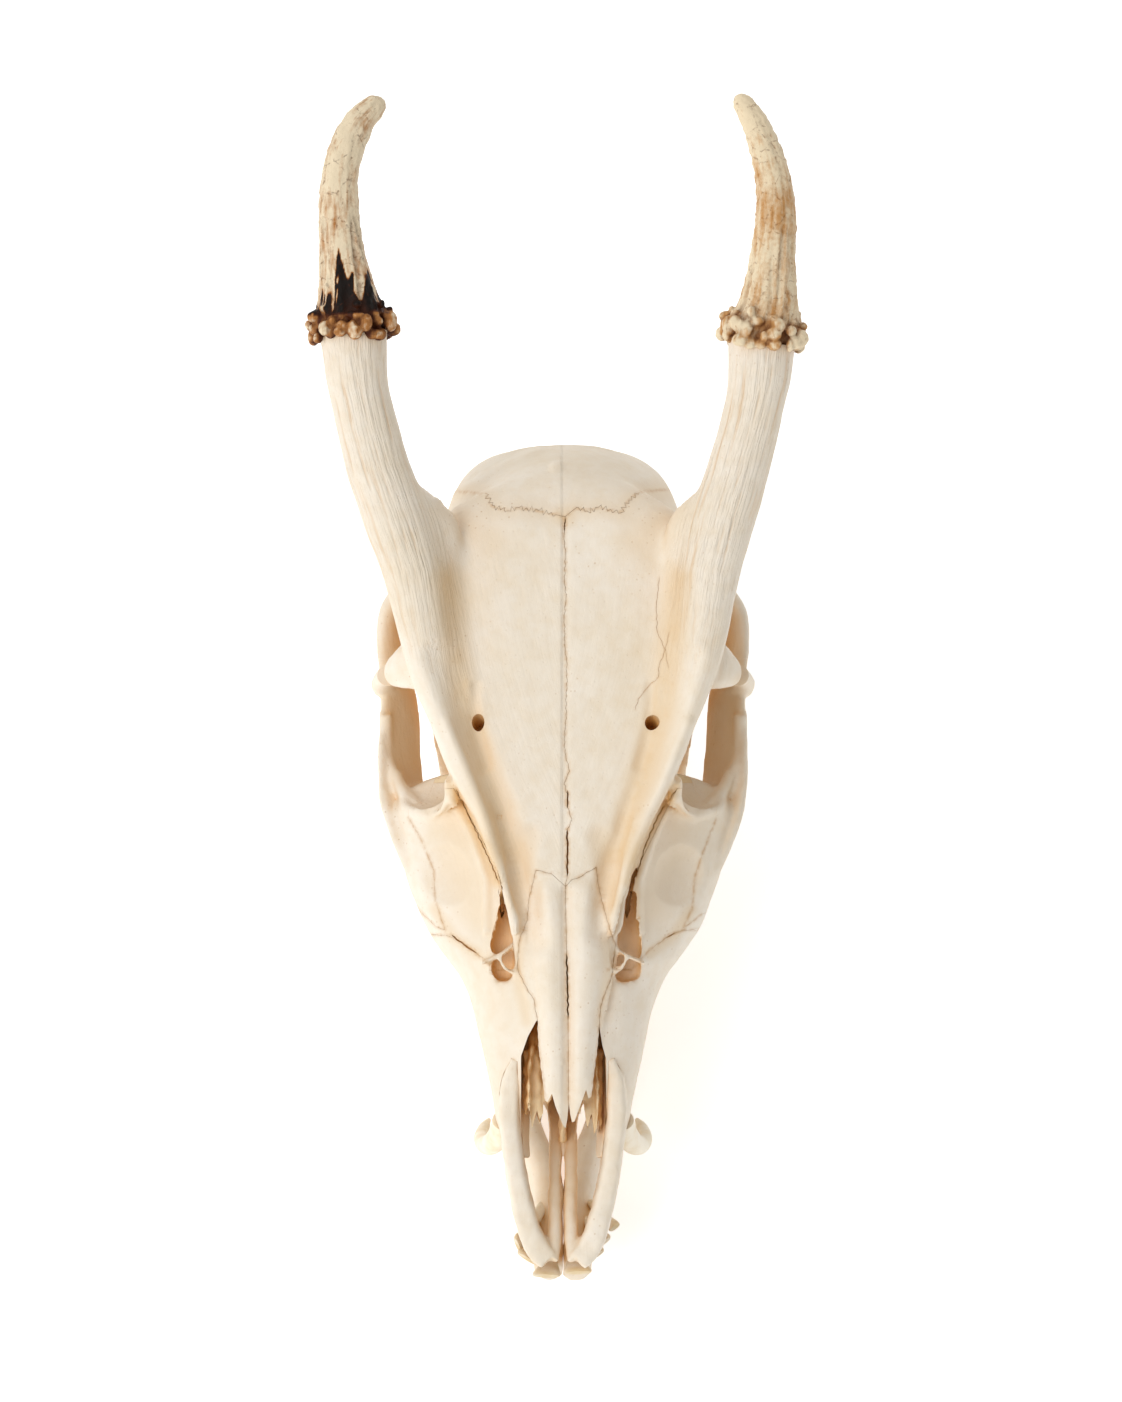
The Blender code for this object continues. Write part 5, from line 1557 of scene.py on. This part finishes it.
def stain_antler(obj, name, base, ahead):
    """How dark each point of an antler is: 0 rubbed ivory, 1 black bark."""
    room = read_points(obj)
    at = face_of(room)
    up = (room - np.array(base)) @ np.array(ahead) / MM
    path = np.array(ANTLER_PATHS[name])
    middle = middle_along(path, at)
    off = at[:, 0] - middle[0]
    patch = waves(at, 6.0, 82)
    tongue = waves(at * np.array([1, 0.1, 1]), 3.0, 83)
    if name == "r":
        # Black bark licks up the beam in streaks, and fades to specks
        streak = waves(at * np.array([1, 0.08, 1]), 1.1, 84)
        reach = 6.6 + 9.0 * np.exp(-((off + 0.8) / 1.7) ** 2) + 4.5 * np.exp(-((off - 4.2) / 1.2) ** 2)
        reach += 1.6 * tongue + 2.2 * streak
        bark = np.clip((reach - up) / 1.4 + 0.3, 0, 1) * 0.95
        bark += 0.13 * np.clip(1 - up / 26, 0, 1) * (1 + 0.6 * streak) + 0.12 + 0.04 * patch
        bark += 0.05 * np.exp(-((up - 24) / 7) ** 2) * (off < 0)
    else:
        # Grey-brown furrows low on the beam, tan above them, pale at the tip
        bark = 0.10 * np.clip(1 - up / 18, 0, 1) + 0.12 + 0.03 * patch
        bark += 0.07 * np.clip(tongue, 0, 1) * (up < 18)
        bark += 0.13 * np.exp(-((up - 27) / 8) ** 2)
        bark -= 0.08 * np.clip((up - 36) / 8, 0, 1)
    # Pearls are rubbed pale on their crowns and dark between
    knob = waves(at, 1.6, 85)
    wide = np.linalg.norm(room - np.array(base) - np.outer(up * MM, np.array(ahead)), axis=1) / MM
    crown = np.clip((wide - 7.7) / 1.3, 0, 1)
    if name == "r":
        pearl = 0.58 - 0.36 * crown + 0.08 * patch + 0.07 * knob
    else:
        pearl = 0.36 - 0.24 * crown + 0.08 * patch + 0.05 * knob
        pearl -= 0.16 * np.clip((1.0 - up) / 1.4, 0, 1)
    ring = np.clip((5.2 - up) / 1.2, 0, 1)
    bark = bark * (1 - ring) + pearl * ring
    write_layer(obj, "bark", np.clip(bark, 0, 1))
    write_layer(obj, "grain", np.stack([off, at[:, 1] * 0.13, at[:, 2] - middle[1]], axis=1))


def dress(obj, name, material, slot, *nodes):
    """Names a finished piece, gives it its finish, and hides the solids that it stands for."""
    obj.name = name
    obj.data.materials.clear()
    obj.data.materials.append(material)
    pick(obj)
    smooth_look(BONE_EDGE)
    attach(obj, "root")
    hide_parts(*nodes)


# The floor, the light and the camera

FLOOR_SIZE = 12.0
FLOOR_GLOW = 0.46
ROOM_LIGHT = 0.46


def set_up_room():
    """White floor that glows a little, an even room light, and three lamps."""
    deselect()
    bpy.ops.mesh.primitive_plane_add(size=FLOOR_SIZE, location=(0, 0, 0))
    floor = bpy.context.object
    floor.name = "floor"
    paper = bpy.data.materials.new("backlit white acrylic")
    paper.use_nodes = True
    sheet = paper.node_tree.nodes["Principled BSDF"].inputs
    sheet["Base Color"].default_value = linear("#FFFFFF")
    sheet["Roughness"].default_value = 0.9
    sheet["Emission Color"].default_value = linear("#FFFFFF")
    sheet["Emission Strength"].default_value = FLOOR_GLOW
    floor.data.materials.append(paper)
    world = bpy.data.worlds.new("studio")
    bpy.context.scene.world = world
    world.use_nodes = True
    background = world.node_tree.nodes["Background"]
    background.inputs["Color"].default_value = (1.0, 0.99, 0.97, 1.0)
    background.inputs["Strength"].default_value = ROOM_LIGHT
    for label, spot, aim, size, power in (
        ("key", (-0.95, -0.8, 1.25), (0, 0, 0.06), 1.1, 17.0),
        ("back", (-0.3, 1.1, 1.2), (0, 0.05, 0.08), 1.0, 5.0),
        ("fill", (0.9, -0.5, 1.4), (0, 0, 0.06), 1.2, 0.9),
    ):
        lamp_data = bpy.data.lights.new(label, "AREA")
        lamp_data.shape = "SQUARE"
        lamp_data.size = size
        lamp_data.energy = power
        lamp = bpy.data.objects.new(label, lamp_data)
        bpy.context.scene.collection.objects.link(lamp)
        lamp.location = spot
        lamp.rotation_mode = "QUATERNION"
        lamp.rotation_quaternion = (Vector(aim) - Vector(spot)).to_track_quat("-Z", "Y")
    bpy.context.scene.view_settings.view_transform = "Standard"


CAMERA_AWAY = 1.6
CAMERA_AIM = (-0.4, 114.0, -5.0)
VIEW_HEIGHT = 0.2804
SENSOR = 36.0


def set_up_camera():
    """Looks square onto the forehead, as the photograph does, through a long lens."""
    camera_data = bpy.data.cameras.new("camera")
    camera_data.sensor_width = SENSOR
    camera_data.lens = SENSOR * CAMERA_AWAY / VIEW_HEIGHT
    camera_data.clip_start = 0.05
    camera = bpy.data.objects.new("camera", camera_data)
    bpy.context.scene.collection.objects.link(camera)
    ahead = (place(0, 0, -1) - place(0, 0, 0)).normalized()
    camera.location = place(*CAMERA_AIM) - ahead * CAMERA_AWAY
    camera.rotation_mode = "QUATERNION"
    camera.rotation_quaternion = ahead.to_track_quat("-Z", "Y")
    bpy.context.scene.camera = camera


ANTLER_COLOURS = {"l": ("#E6D4B4", "#C29059", "#75492A"), "r": ("#E4D3B5", "#AE7640", "#4A220F")}


def main():
    set_up_room()
    set_up_camera()
    bone = dry_bone()
    # Painted shade: a yellower, more orange copy of the bone finish for the bone inside the skull and the
    # nose plates, which lie in shade
    shaded = dry_bone("bone inside the skull", "#F3E4C6", "#EAD3A6", "#E2A548")
    ivory = enamel("tusk ivory", "#F5EBD6", "#E9D8B6")
    tooth = enamel()
    bones = build_upper_bones()
    for name, side in SIDES:
        antler, base, ahead = build_antler(name, side)
        stain_antler(antler, name, base, ahead)
        cut(bones["frontal_" + name], half_space(base + ahead * 0.5 * MM, ahead))
        horn = antler_horn("antler " + name, *ANTLER_COLOURS[name])
        dress(antler, "antler_piece_" + name, horn, "antler", "antler_" + name)
        tusk = build_tusk(side)
        cut(bones["maxilla_" + name], sweep("socket", tusk_stations(side), sides=28, grow=SUTURE))
        dress(tusk, "tusk_piece_" + name, ivory, "ivory", "tusk_" + name)
        for label, made in (("premaxilla", build_premaxilla(side)), ("mandible", build_jaw(side))):
            lay_grain(made)
            dress(made, label + "_piece_" + name, bone, "bone", label + "_" + name)
        bite = BITE_HEIGHT - BITE_GAP
        lower = tooth_row("lower teeth", side, LOWER_TEETH, LOWER_ROW, LOWER_GUM, bite, 17 + side)
        dress(lower, "lower_teeth_" + name, tooth, "bone", "mandible_" + name)
        front = front_teeth("front teeth", name, side)
        dress(front, "front_teeth_" + name, tooth, "bone", "mandible_" + name)
        bite = BITE_HEIGHT + BITE_GAP
        upper = tooth_row("upper teeth", side, UPPER_TEETH, UPPER_ROW, UPPER_GUM, bite, 5 + side)
        dress(upper, "upper_teeth_" + name, tooth, "bone", "maxilla_" + name)
    for name, obj in bones.items():
        largest_only(obj)
        lay_grain(obj)
        inside = name == "sphenoid"
        stands_for = [name, name.replace("frontal", "pedicel")] if name.startswith("frontal") else [name]
        material, slot = (shaded, "shaded_bone") if inside else (bone, "bone")
        dress(obj, name + "_piece", material, slot, *stands_for)
    plates = build_turbinates()
    lay_grain(plates)
    dress(plates, "turbinates_piece", shaded, "shaded_bone", "turbinates")


main()
